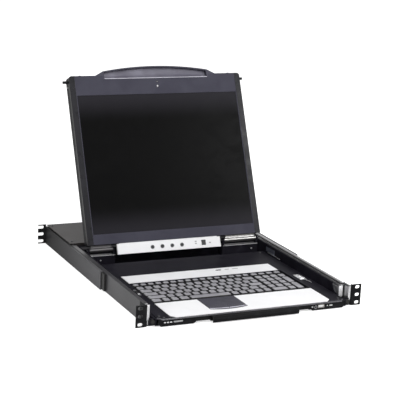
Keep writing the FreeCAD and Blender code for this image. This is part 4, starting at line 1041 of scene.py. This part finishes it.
# %% Liner and lip of the grip
ARCH_HALF, ARCH_CROWN, POCKET_HALF, POCKET_RIM = 123.5 * MM, 10 * MM, 121.3 * MM, 3.0 * MM
POCKET_FLOOR, POCKET_DEEP, LINER_FACE = 1.5 * MM, 9.9 * MM, 9.0 * MM
arch_radius = (ARCH_HALF ** 2 + ARCH_CROWN ** 2) / (2 * ARCH_CROWN)


SWEEP_SHARE, SWEEP_REACH = 0.45, 0.95


def grip_liner():
    """Shell that lines the pocket, swept forward at its floor."""
    columns, rises = 48, (0, 0.03, 0.08, 0.16, 0.28, 0.45, 0.7, 1.0)
    low = grip_low.z + POCKET_FLOOR
    rings = []
    for i in range(columns + 1):
        x = POCKET_HALF * (2 * i / columns - 1)
        top = grip_high.z - arch_radius - POCKET_RIM + math.sqrt(arch_radius ** 2 - x ** 2)
        front = []
        for rise in rises:
            forward = LINER_FACE * (1 - min(1, rise / SWEEP_SHARE)) ** 2
            front.append((x, face + LINER_FACE - forward * SWEEP_REACH, low + (top - low) * rise))
        rings.append(front + [(x, face + POCKET_DEEP, z) for _, _, z in reversed(front)])
    return skinned(rings)


on_display("grip_liner", [grip_liner()], lit_pocket_plastic, "handle_plastic")
LIP_PROUD, LIP_LAP, LIP_TALL = 0.7 * MM, 0.2 * MM, 1.3 * MM
lip_level = grip_low.z + POCKET_FLOOR
on_display("grip_lip", [block((-POCKET_HALF, face - LIP_PROUD, lip_level - LIP_TALL),
                              (POCKET_HALF, face + LIP_LAP, lip_level), 0.3 * MM)],
           highlight_lip_plastic, "handle_plastic")

# %% [markdown]
# ## Lamps, collars and caps of the display
# A small lamp with a collar sits above the screen, with the eye of a light sensor over it. The
# round menu buttons have collars that guide the finger, and the trims end in caps whose seams
# show near the top corners. Each is turned or cut to an outline.

# %% Lamp, sensor eye and button collars
lamp_middle, eye_middle = (0, face, 348.9 * MM), (0, face, 358.8 * MM)
LAMP_PROFILE = mm([(2.1, 0.2), (2.1, -0.25), (1.8, -0.6), (1.2, -0.85), (0.5, -0.95)])
EYE_PROFILE = mm([(1.5, 0.2), (1.5, -0.1), (1.1, -0.25)])
SEAT_LAP = 0.2 * MM  # how far a small piece reaches behind the face that it sits on
on_display("status_lamp", [turned(LAMP_PROFILE, lamp_middle, "Y")], clear_lens, "white_plastic")
on_display("sensor_eye", [turned(EYE_PROFILE, eye_middle, "Y")], dark_lens, "screen_glass")
on_display("lamp_collars", [hoop(2.2 * MM, 3.1 * MM, SEAT_LAP, -0.35 * MM, lamp_middle, "Y"),
                            hoop(1.6 * MM, 2.3 * MM, SEAT_LAP, -0.25 * MM, eye_middle, "Y")],
           trim_plastic, "trim_plastic")
COLLAR_GAP, COLLAR_OUTER, COLLAR_PROUD = 0.45 * MM, 1.25 * MM, 0.4 * MM
collars = []
for number in range(1, 5):
    low, high = upright_box("menu_button_%d" % number)
    reach = (high.x - low.x) / 2
    collars.append(hoop(reach + COLLAR_GAP, reach + COLLAR_OUTER, SEAT_LAP, -COLLAR_PROUD,
                        ((low.x + high.x) / 2, strip_face, (low.z + high.z) / 2), "Y"))
on_display("button_collars", collars, print_and_highlight_grey, "button_plastic")


# %% Indicator lenses of the control strip
def pill(x, z, wide, tall, face, proud=0.3 * MM):
    """Rounded lens that stands a little proud of a face that looks forward."""
    outline = rounded_outline((x - wide / 2, z - tall / 2), (x + wide / 2, z + tall / 2),
                              min(wide, tall) * 0.49)
    return prism(outline, face + SEAT_LAP, face - proud, 0.12 * MM, "Y")


power_low, power_high = upright_box("display_power_button")
power_z = (power_low.z + power_high.z) / 2
lenses = [pill(power_low.x - 14 * MM, power_z + rise * MM, 5.0 * MM, 2.2 * MM, strip_face)
          for rise in (3.2, -1.2)]
lenses.append(pill(power_high.x + 10.5 * MM, power_z - 1.5 * MM, 4.6 * MM, 2.4 * MM, strip_face))
on_display("strip_lenses", lenses, print_and_highlight_grey, "white_plastic")

# %% Caps, nubs and latch pins
CAP_LENGTH, CAP_ROUND, CAP_INSET = 27 * MM, 5.4 * MM, 0.25 * MM
NUB_PLACE, NUB_HALF, NUB_RISE = 176 * MM, 2.5 * MM, 1.7 * MM
PIN_PROFILE, PIN_DROP = mm([(1.6, 0.0), (1.6, 0.9), (1.2, 1.3), (0.5, 1.5)]), 12 * MM
caps, nubs, pins = [], [], []
for sign, (low, high) in zip((-1, 1), lumps("latch_hooks")):
    outer, inner = sign * (trim_high.x - CAP_INSET), sign * (bezel_high.x + 0.3 * MM)
    outline = rounded_outline((min(outer, inner), trim_high.z - CAP_LENGTH),
                              (max(outer, inner), trim_high.z - CAP_INSET), CAP_ROUND)
    caps.append(prism(outline, trim_low.y + 0.3 * MM, trim_low.y - 0.55 * MM, 0.35 * MM, "Y"))
    x = sign * NUB_PLACE
    nubs.append(block((x - NUB_HALF, face + 3 * MM, trim_high.z - 0.3 * MM),
                      (x + NUB_HALF, face + 8 * MM, trim_high.z + NUB_RISE), 0.6 * MM))
    hook = leaned.inverted() @ ((low + high) / 2)
    pins.append(turned([(radius, sign * out) for radius, out in PIN_PROFILE],
                       (sign * (trim_high.x - 0.4 * MM), hook.y, hook.z - PIN_DROP), "X", 14))
on_display("trim_caps", caps, trim_plastic, "trim_plastic")
on_display("edge_nubs", nubs, rubber, "rubber")
on_display("latch_pins", pins, pin_steel, "zinc")

# %% [markdown]
# ## Back of the display
# The back is a plain moulded shell in the construction. The real one breathes through rows of
# slats and is closed by screws round its edge, with a raised field in the middle that stiffens
# it. The slats repeat, so a tree puts one ridged slat on every point of two fields.

# %% Slats by geometry nodes
SLAT_LONG, SLAT_WIDE, SLAT_PROUD = 46 * MM, 1.6 * MM, 0.5 * MM


ROW_PITCH, UPPER_ROWS, LOWER_ROWS = 5.4, (288, 9), (52, 7)


def slat_tree():
    """Tree that puts a slat with a ridge on every point, turned with the display."""
    graph, given = new_rule("vent_slats", {"Length": SLAT_LONG, "Width": SLAT_WIDE,
                                           "Proud": SLAT_PROUD, "Lean": -LEAN})
    size = graph.vector(given.of("Length"), given.of("Width"), given.of("Proud") * 2)
    bar = graph.add("GeometryNodeMeshCube", None,
                    {"Size": size, "Vertices X": 4, "Vertices Y": 3, "Vertices Z": 2})
    split = graph.add("ShaderNodeSeparateXYZ", None,
                      {0: graph.add("GeometryNodeInputPosition")})
    middle = (split.of("Y").size() < 0.0001) * (split.of("Z") > 0)
    lift = graph.vector(z=middle * given.of("Proud") * 0.5)
    bar = graph.add("GeometryNodeSetPosition", None, {"Geometry": bar, "Offset": lift})
    turn = graph.vector(given.of("Lean") - math.pi / 2)
    return closed_rule(graph, given, on_points(graph, given, bar, Rotation=turn))


spots = [tuple(leaned @ Vector((x * MM, rear - 0.1 * MM, (row * ROW_PITCH + base) * MM)))
         for base, count in (UPPER_ROWS, LOWER_ROWS) for row in range(count)
         for x in (-116, -58, 0, 58, 116)]
mesh = grown("vent_slats", slat_tree(), spots, {}, Finish=back_plastic)
finished("vent_slats", mesh, back_plastic, "display", "bezel_plastic")

# %% Raised field and screws
FIELD_LOW, FIELD_HIGH, FIELD_ROUND = (-150 * MM, 112 * MM), (150 * MM, 262 * MM), 9 * MM
field = prism(rounded_outline(FIELD_LOW, FIELD_HIGH, FIELD_ROUND), rear - 0.4 * MM,
              rear + 0.6 * MM, 0.4 * MM, "Y")
on_display("back_field", [field], back_plastic, "bezel_plastic")
backward = leaned.to_3x3() @ Vector((0, 1, 0))
seats = [(leaned @ Vector((x * MM, rear - 0.1 * MM, z * MM)), backward)
         for x in (-188, 0, 188) for z in (24, 190, 346) if (x, z) != (0, 190)]
fixings("display_back_screws", screw_rule, seats, 2.6 * MM, 0.7 * MM, screw_black, "display",
        "bezel_plastic")

# %% [markdown]
# ## Hinges
# The hinge housings have folded lids, each with a pale rim along its front edge that is a
# painted highlight, and each is held to the floor by a screw through its front. The barrels turn
# on pins between the housings' lugs.

# %% Lids, painted highlight rims and screws of the hinge housings
LID_LEVEL, LID_INSET, LUG_DEPTH, SCREW_LEVEL = 5.475 * MM, 0.3 * MM, 9 * MM, -5.2 * MM
highlight_rims, seats = [], []
for node, screw_x in (("left_hinge_box", -172 * MM), ("right_hinge_box", 185 * MM)):
    low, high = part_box(node)
    left, right = low.x + LID_INSET, high.x - LID_INSET
    lid = block((left, low.y - 0.35 * MM, LID_LEVEL - 0.3 * MM),
                (right, high.y - LUG_DEPTH, LID_LEVEL + 0.7 * MM), 0.3 * MM)
    from_shapes(node + "_lid", [lid], black_steel, "drawer", "slate_paint")
    # Painted highlight: a pale strip along the lid's front edge.
    highlight_rims.append(block((left, low.y - 0.6 * MM, LID_LEVEL - 0.9 * MM),
                      (right, low.y - 0.1 * MM, LID_LEVEL + 0.85 * MM), 0.2 * MM))
    seats.append((Vector((screw_x, low.y + 0.05 * MM, SCREW_LEVEL)), Vector((0, -1, 0))))
from_shapes("hinge_box_highlight_rims", highlight_rims, print_and_highlight_grey, "drawer", "zinc")
fixings("hinge_box_screws", screw_rule, seats, 2.3 * MM, 0.9 * MM, screw_zinc, "drawer", "zinc")

# %% [markdown]
# ## Slides and side walls
# The slides end in pale buffers, whose white stands for the bright reflection at the slides'
# front ends as a painted highlight, and rivets hold their strips together. A plate and a wire on
# the drawer's inner walls hold the display's cable.

# %% Painted highlight buffers, rivets, plate and wire
BUFFER_INNER, BUFFER_OUTER, BUFFER_BASE, BUFFER_TOP = (v * MM for v in (204.7, 212.7, -9.4, 12.7))
RIVET_FACE, RIVET_RADIUS, RIVET_RISE = 205.55 * MM, 2.0 * MM, 0.5 * MM
PLATE_INNER, PLATE_OUTER, PLATE_BASE, PLATE_TOP = (v * MM for v in (202.70, 203.02, -2.2, 8.0))
WIRE_PLACE, WIRE_LEVEL = 201.7 * MM, -3.3 * MM
WIRE_PROFILE = mm([(0.6, 268), (1.2, 270), (1.2, 323), (0.6, 325)])
for sign, side in ((-1, "left"), (1, "right")):
    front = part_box(side + "_inner_slide")[0].y
    inner, outer = sorted((sign * BUFFER_INNER, sign * BUFFER_OUTER))
    # Painted highlight: a pale block stands for the reflection at the slide's front end.
    highlight_buffer = block((inner, front - 1.2 * MM, BUFFER_BASE), (outer, front + 0.1 * MM, BUFFER_TOP),
                   0.4 * MM)
    from_shapes(side + "_slide_highlight_buffer", [highlight_buffer], white_plastic, "drawer", "zinc")
    seats = [(Vector((sign * RIVET_FACE, y * MM, z * MM)), Vector((sign, 0, 0)))
             for y in range(52, 440, 48) for z in (-4, 4)]
    fixings(side + "_slide_rivets", rivet_rule, seats, RIVET_RADIUS, RIVET_RISE, screw_zinc,
            "drawer", "zinc")
    inner, outer = sorted((sign * PLATE_INNER, sign * PLATE_OUTER))
    plate = prism(rounded_outline((inner, 296 * MM), (outer, 336 * MM), 0.12 * MM, 2),
                  PLATE_BASE, PLATE_TOP)
    from_shapes(side + "_cable_plate", [plate], plate_metal, "drawer", "zinc")
    wire = turned(WIRE_PROFILE, (sign * WIRE_PLACE, 0, WIRE_LEVEL), "Y", 12)
    from_shapes(side + "_cable_wire", [wire], zinc, "drawer", "zinc")

# %% [markdown]
# ## Front edge
# The deck's front is rolled over into a smooth nose, which catches the light as a soft line,
# and its paint is a lighter copy of the slate paint as a painted highlight.
# Below it the fascia carries the data port with its pale tongue, a reset button in a pale
# collar, and indicator lenses.

# %% Nose of the deck
deck_low, deck_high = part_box("keyboard_deck")
fascia_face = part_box("front_fascia")[0].y
NOSE_RADIUS, NOSE_FLAT, NOSE_LAP, CORNER_CUT = 2.6 * MM, 0.75, 0.6 * MM, 9 * MM
MITRE = 0.41  # sideways share at a bend of 45 degrees


def nose():
    """Quarter-round edge that follows the deck's front and its cut corners."""
    half, rings = deck_high.x - CORNER_CUT, []
    corner = Vector((1, -1, 0)).normalized()
    for x, y, out in ((-deck_high.x, CORNER_CUT, (-corner.x, corner.y)), (-half, 0, (-MITRE, -1)),
                      (half, 0, (MITRE, -1)), (deck_high.x, CORNER_CUT, (corner.x, corner.y))):
        spot, out = Vector((x, deck_low.y + y, deck_high.z)), Vector((*out, 0))
        ring = [spot - out * NOSE_LAP - Vector((0, 0, NOSE_RADIUS)), spot - out * NOSE_LAP]
        for step in range(7):
            turn = math.radians(90 - 15 * step)
            ring.append(spot + out * (NOSE_RADIUS * math.cos(turn) * NOSE_FLAT)
                        - Vector((0, 0, NOSE_RADIUS * (1 - math.sin(turn)))))
        rings.append(ring)
    return skinned(rings)


# The nose's lighter paint is a painted highlight.
from_shapes("deck_nose", [nose()], nose_lit_paint, "drawer", "slate_paint", angle=50)

# %% Port tongue, reset collar and lenses
usb_low, usb_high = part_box("usb_port")
reset_low, reset_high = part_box("reset_button")
tongue = block((usb_low.x + 1.2 * MM, usb_low.y + 0.6 * MM, usb_low.z + 1.5 * MM),
               (usb_high.x - 1.2 * MM, usb_high.y - 6 * MM, usb_high.z - 1.2 * MM), 0.2 * MM)
from_shapes("port_tongue", [tongue], white_plastic, "drawer", "white_plastic")
reset_middle = (reset_low + reset_high) / 2
collar = hoop(2.45 * MM, 3.2 * MM, SEAT_LAP, -0.3 * MM,
              (reset_middle.x, fascia_face, reset_middle.z), "Y")
from_shapes("reset_collar", [collar], print_and_highlight_grey, "drawer", "white_plastic")
LENS_LEVEL, LENS_TALL = -13.2 * MM, 2.0 * MM
LENSES = mm([(127.0, 3.4), (160.5, 2.4), (168.5, 7.0), (-186.5, 4.6), (-180.3, 4.6),
             (-174.1, 4.6)])
lenses = [pill(x, LENS_LEVEL, wide, LENS_TALL, fascia_face) for x, wide in LENSES]
from_shapes("fascia_lenses", lenses, mark_white, "drawer", "white_plastic")
from_shapes("fascia_plate", [pill(-159.5 * MM, -13.0 * MM, 19 * MM, 2.8 * MM, fascia_face)],
            print_and_highlight_grey, "drawer", "white_plastic")

# %% [markdown]
# ## Edge of the touchpad's buttons
# The two buttons below the touchpad end in a shallow arc with a raised rim, painted bright as a
# highlight. Half of the arc belongs to each button, so that it goes down with it.

# %% Painted highlight arc, half on each button
touch_low, touch_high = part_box("touchpad")
ARC_FRONT, ARC_SAG, ARC_INSET = 9.6 * MM, 4.5 * MM, 0.8 * MM
ARC_SECTION = mm([(0, -0.2), (0.5, 0.8), (1.3, 0.8), (3.0, -0.2)])


def arc_shape(start, end, top):
    """Bent bar that follows the arc between two places across the touchpad."""
    middle, half = (touch_low.x + touch_high.x) / 2, (touch_high.x - touch_low.x) / 2
    rings, count = [], 14
    for i in range(count + 1):
        x = start + (end - start) * i / count
        y = ARC_FRONT + ARC_SAG * ((x - middle) / half) ** 2
        rings.append([(x, y + away, top + rise) for away, rise in ARC_SECTION])
    return skinned(rings)


for side in ("left", "right"):
    low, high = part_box("touchpad_%s_button" % side)
    arc = arc_shape(low.x + ARC_INSET, high.x - ARC_INSET, high.z)
    from_shapes("touchpad_%s_rim" % side, [arc], highlight_lip_plastic, "touchpad_%s_button_body" % side,
                "touchpad_plastic", angle=50)


# %% Windows of the keyboard strip
def flat_pill(x, y, wide, deep, top, proud=0.25 * MM):
    """Rounded lens that lies on a level face."""
    outline = rounded_outline((x - wide / 2, y - deep / 2), (x + wide / 2, y + deep / 2),
                              deep * 0.45)
    return prism(outline, top - SEAT_LAP, top + proud, 0.1 * MM)


bar_low, bar_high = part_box("keyboard_strip")
lens_line = bar_low.y + 32 * MM
window = flat_pill(40 * MM, lens_line, 13 * MM, 6 * MM, bar_high.z, 0.12 * MM)
from_shapes("strip_window", [window], dark_lens, "drawer", "screen_glass")
from_shapes("strip_lamps", [flat_pill(x, lens_line, wide, 3.0 * MM, bar_high.z)
                            for x, wide in mm([(59.5, 10), (78.5, 14)])],
            print_and_highlight_grey, "drawer", "white_plastic")

# %% [markdown]
# ## Release catch
# On either side of the keys a sprung catch slides back under the thumb. Its plate is pressed
# from strip with a raised, ribbed grip, and a bent spring wire runs forward from it.

# %% Thumb grips and spring wires
RIB_DEEP, RIB_RISE, RIB_MARGIN, SPRING_RADIUS = (v * MM for v in (1.5, 1.1, 2.0, 0.55))
SPRING_ROUTE = ((0, -1, -0.4), (2, -7, -0.4), (5, -14, -1.2), (6, -22, -1.4))
for side, sign, rib_finish in (("left", -1, nylon), ("right", 1, catch_metal)):
    low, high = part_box(side + "_release_catch")
    middle = (low.x + high.x) / 2
    ribs = [block((low.x + RIB_MARGIN, low.y + y * MM, high.z - SEAT_LAP),
                  (high.x - RIB_MARGIN, low.y + y * MM + RIB_DEEP, high.z + RIB_RISE), 0.4 * MM)
            for y in (6, 10, 14, 18)]
    from_shapes(side + "_catch_ribs", ribs, rib_finish, side + "_release_catch_body", "zinc")
    wire = bpy.data.curves.new(side + "_catch_spring", "CURVE")
    wire.dimensions, wire.bevel_depth, wire.bevel_resolution = "3D", SPRING_RADIUS, 2
    wire.use_fill_caps = True
    line = wire.splines.new("NURBS")
    line.points.add(len(SPRING_ROUTE) - 1)
    for point, (x, y, z) in zip(line.points, SPRING_ROUTE):
        point.co = (middle + sign * x * MM, low.y + y * MM, high.z + z * MM, 1)
    line.order_u, line.use_endpoint_u = 3, True
    finished(side + "_catch_spring", drawn(linked(side + "_catch_spring", wire)), zinc, "drawer",
             "zinc", angle=60)

# %% [markdown]
# ## Rear connections
# The ports on the back are shells with a core of contacts, and each has its pair of hexagonal
# posts. The mains switch is marked with a bar and a ring, for on and off.

# %% Port cores, posts and switch marks
POST_PROFILE, POST_GAP = mm([(2.3, 583.9), (2.3, 585.9), (1.6, 586.4)]), 4 * MM
MARK_FRONT, MARK_REAR = 1.75 * MM, 0.45 * MM
cores, posts = [], []
for low, high in lumps("rear_ports"):
    middle = (low + high) / 2
    cores.append(block((low.x + 3 * MM, high.y - 4.4 * MM, middle.z - 2 * MM),
                       (high.x - 3 * MM, high.y - 0.8 * MM, middle.z + 2 * MM), 0.3 * MM))
    for x in (low.x - POST_GAP, high.x + POST_GAP):
        posts.append(turned(POST_PROFILE, (x, 0, middle.z), "Y", 6))
from_shapes("port_cores", cores, inlet_plastic, "chassis", "inlet_plastic")
from_shapes("port_posts", posts, nickel, "chassis", "connector_metal")
low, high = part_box("power_switch")
middle = (low + high) / 2
bar = block((middle.x - 6.2 * MM, high.y - MARK_FRONT, middle.z - 2 * MM),
            (middle.x - 5.6 * MM, high.y - MARK_REAR, middle.z + 2 * MM), 0.1 * MM)
ring = hoop(1.3 * MM, 1.8 * MM, high.y - MARK_FRONT, high.y - MARK_REAR,
            (middle.x + 5.2 * MM, 0, middle.z), "Y", 20)
from_shapes("switch_marks", [bar, ring], mark_white, "power_switch_body", "white_plastic")

# %% [markdown]
# ## Floor and light
# The drawer stands in a plain bright studio: a pale floor that runs to the horizon, four broad
# soft lamps, and a sky that lights the drawer a little more from behind than from in front. To
# the camera, and in metal and glass, the floor and the sky add enough white of their own to read
# as white, while the floor still darkens under the drawer.

# %% Floor
FLOOR_REACH, FLOOR_GAP = 30.0, 0.0005
FLOOR_GLOW, FLOOR_SHEEN = 0.66, 0.42


def ray_kinds(graph):
    """Whether a ray comes from the camera, and whether it comes from metal or glass."""
    rays = graph.add("ShaderNodeLightPath", out="Is Camera Ray")
    return rays, rays.maths("MAXIMUM", rays.of("Is Glossy Ray"), rays.of("Is Transmission Ray"))


floor_mesh = bpy.data.meshes.new("studio_floor")
floor_mesh.from_pydata([(x * FLOOR_REACH, y * FLOOR_REACH, cad_box[0].z - FLOOR_GAP)
                        for x, y in ((-1, -1), (1, -1), (1, 1), (-1, 1))], [], [(0, 1, 2, 3)])
linked("studio_floor", floor_mesh)
pale = Finish("studio_floor")
rays, mirrored = ray_kinds(pale)
seen = rays.maths("MAXIMUM", rays * FLOOR_GLOW, mirrored * FLOOR_SHEEN)
matt = pale.add("ShaderNodeBsdfDiffuse", None, {"Color": (0.82, 0.82, 0.82)})
glow = pale.add("ShaderNodeEmission", None, {"Strength": seen})
both = pale.add("ShaderNodeAddShader", None, {0: matt, 1: glow})
pale.add("ShaderNodeOutputMaterial", None, {"Surface": both})
floor_mesh.materials.append(pale.material)
print("floor at", round(cad_box[0].z / MM, 2), "mm")

# %% Sky and lamps
SKY_FRONT, SKY_BACK = 0.34, 0.80
sky = bpy.data.worlds.new("studio_sky")
sky.use_nodes = True
bpy.context.scene.world = sky
air = Graph(sky.node_tree)
air.tree.nodes.clear()
rays, mirrored = ray_kinds(air)
seen = rays.maths("MAXIMUM", rays, mirrored)
toward = air.add("ShaderNodeTexCoord", out="Generated")
toward = air.add("ShaderNodeSeparateXYZ", None, {0: toward}).of("Y")
level = SKY_FRONT + toward.ease(-0.1, 0.6) * (SKY_BACK - SKY_FRONT)
dim = air.add("ShaderNodeBackground", None, {"Color": (1, 1, 1), "Strength": level})
white = air.add("ShaderNodeBackground", None, {"Color": (1, 1, 1), "Strength": 1.0})
mixed = air.add("ShaderNodeMixShader", None, {0: seen, 1: dim, 2: white})
air.add("ShaderNodeOutputWorld", None, {"Surface": mixed})


def soft_lamp(name, place, size, power):
    """Square soft lamp that faces the middle of the drawer."""
    lamp = bpy.data.lights.new(name, "AREA")
    lamp.size, lamp.energy = size, power
    holder = linked(name, lamp)
    holder.location = place
    heart = (cad_box[0] + cad_box[1]) / 2
    holder.rotation_euler = (heart - Vector(place)).to_track_quat("-Z", "Y").to_euler()


soft_lamp("key_lamp", (-0.3, -1.45, 2.25), 1.8, 48)
soft_lamp("side_lamp", (-2.2, -1.2, 0.45), 1.0, 7)
soft_lamp("trim_lamp", (1.35, -1.1, 1.30), 0.5, 13)
soft_lamp("back_lamp", (0.6, 2.4, 1.8), 1.4, 12)
print("four lamps, and a sky from", SKY_FRONT, "to", SKY_BACK)
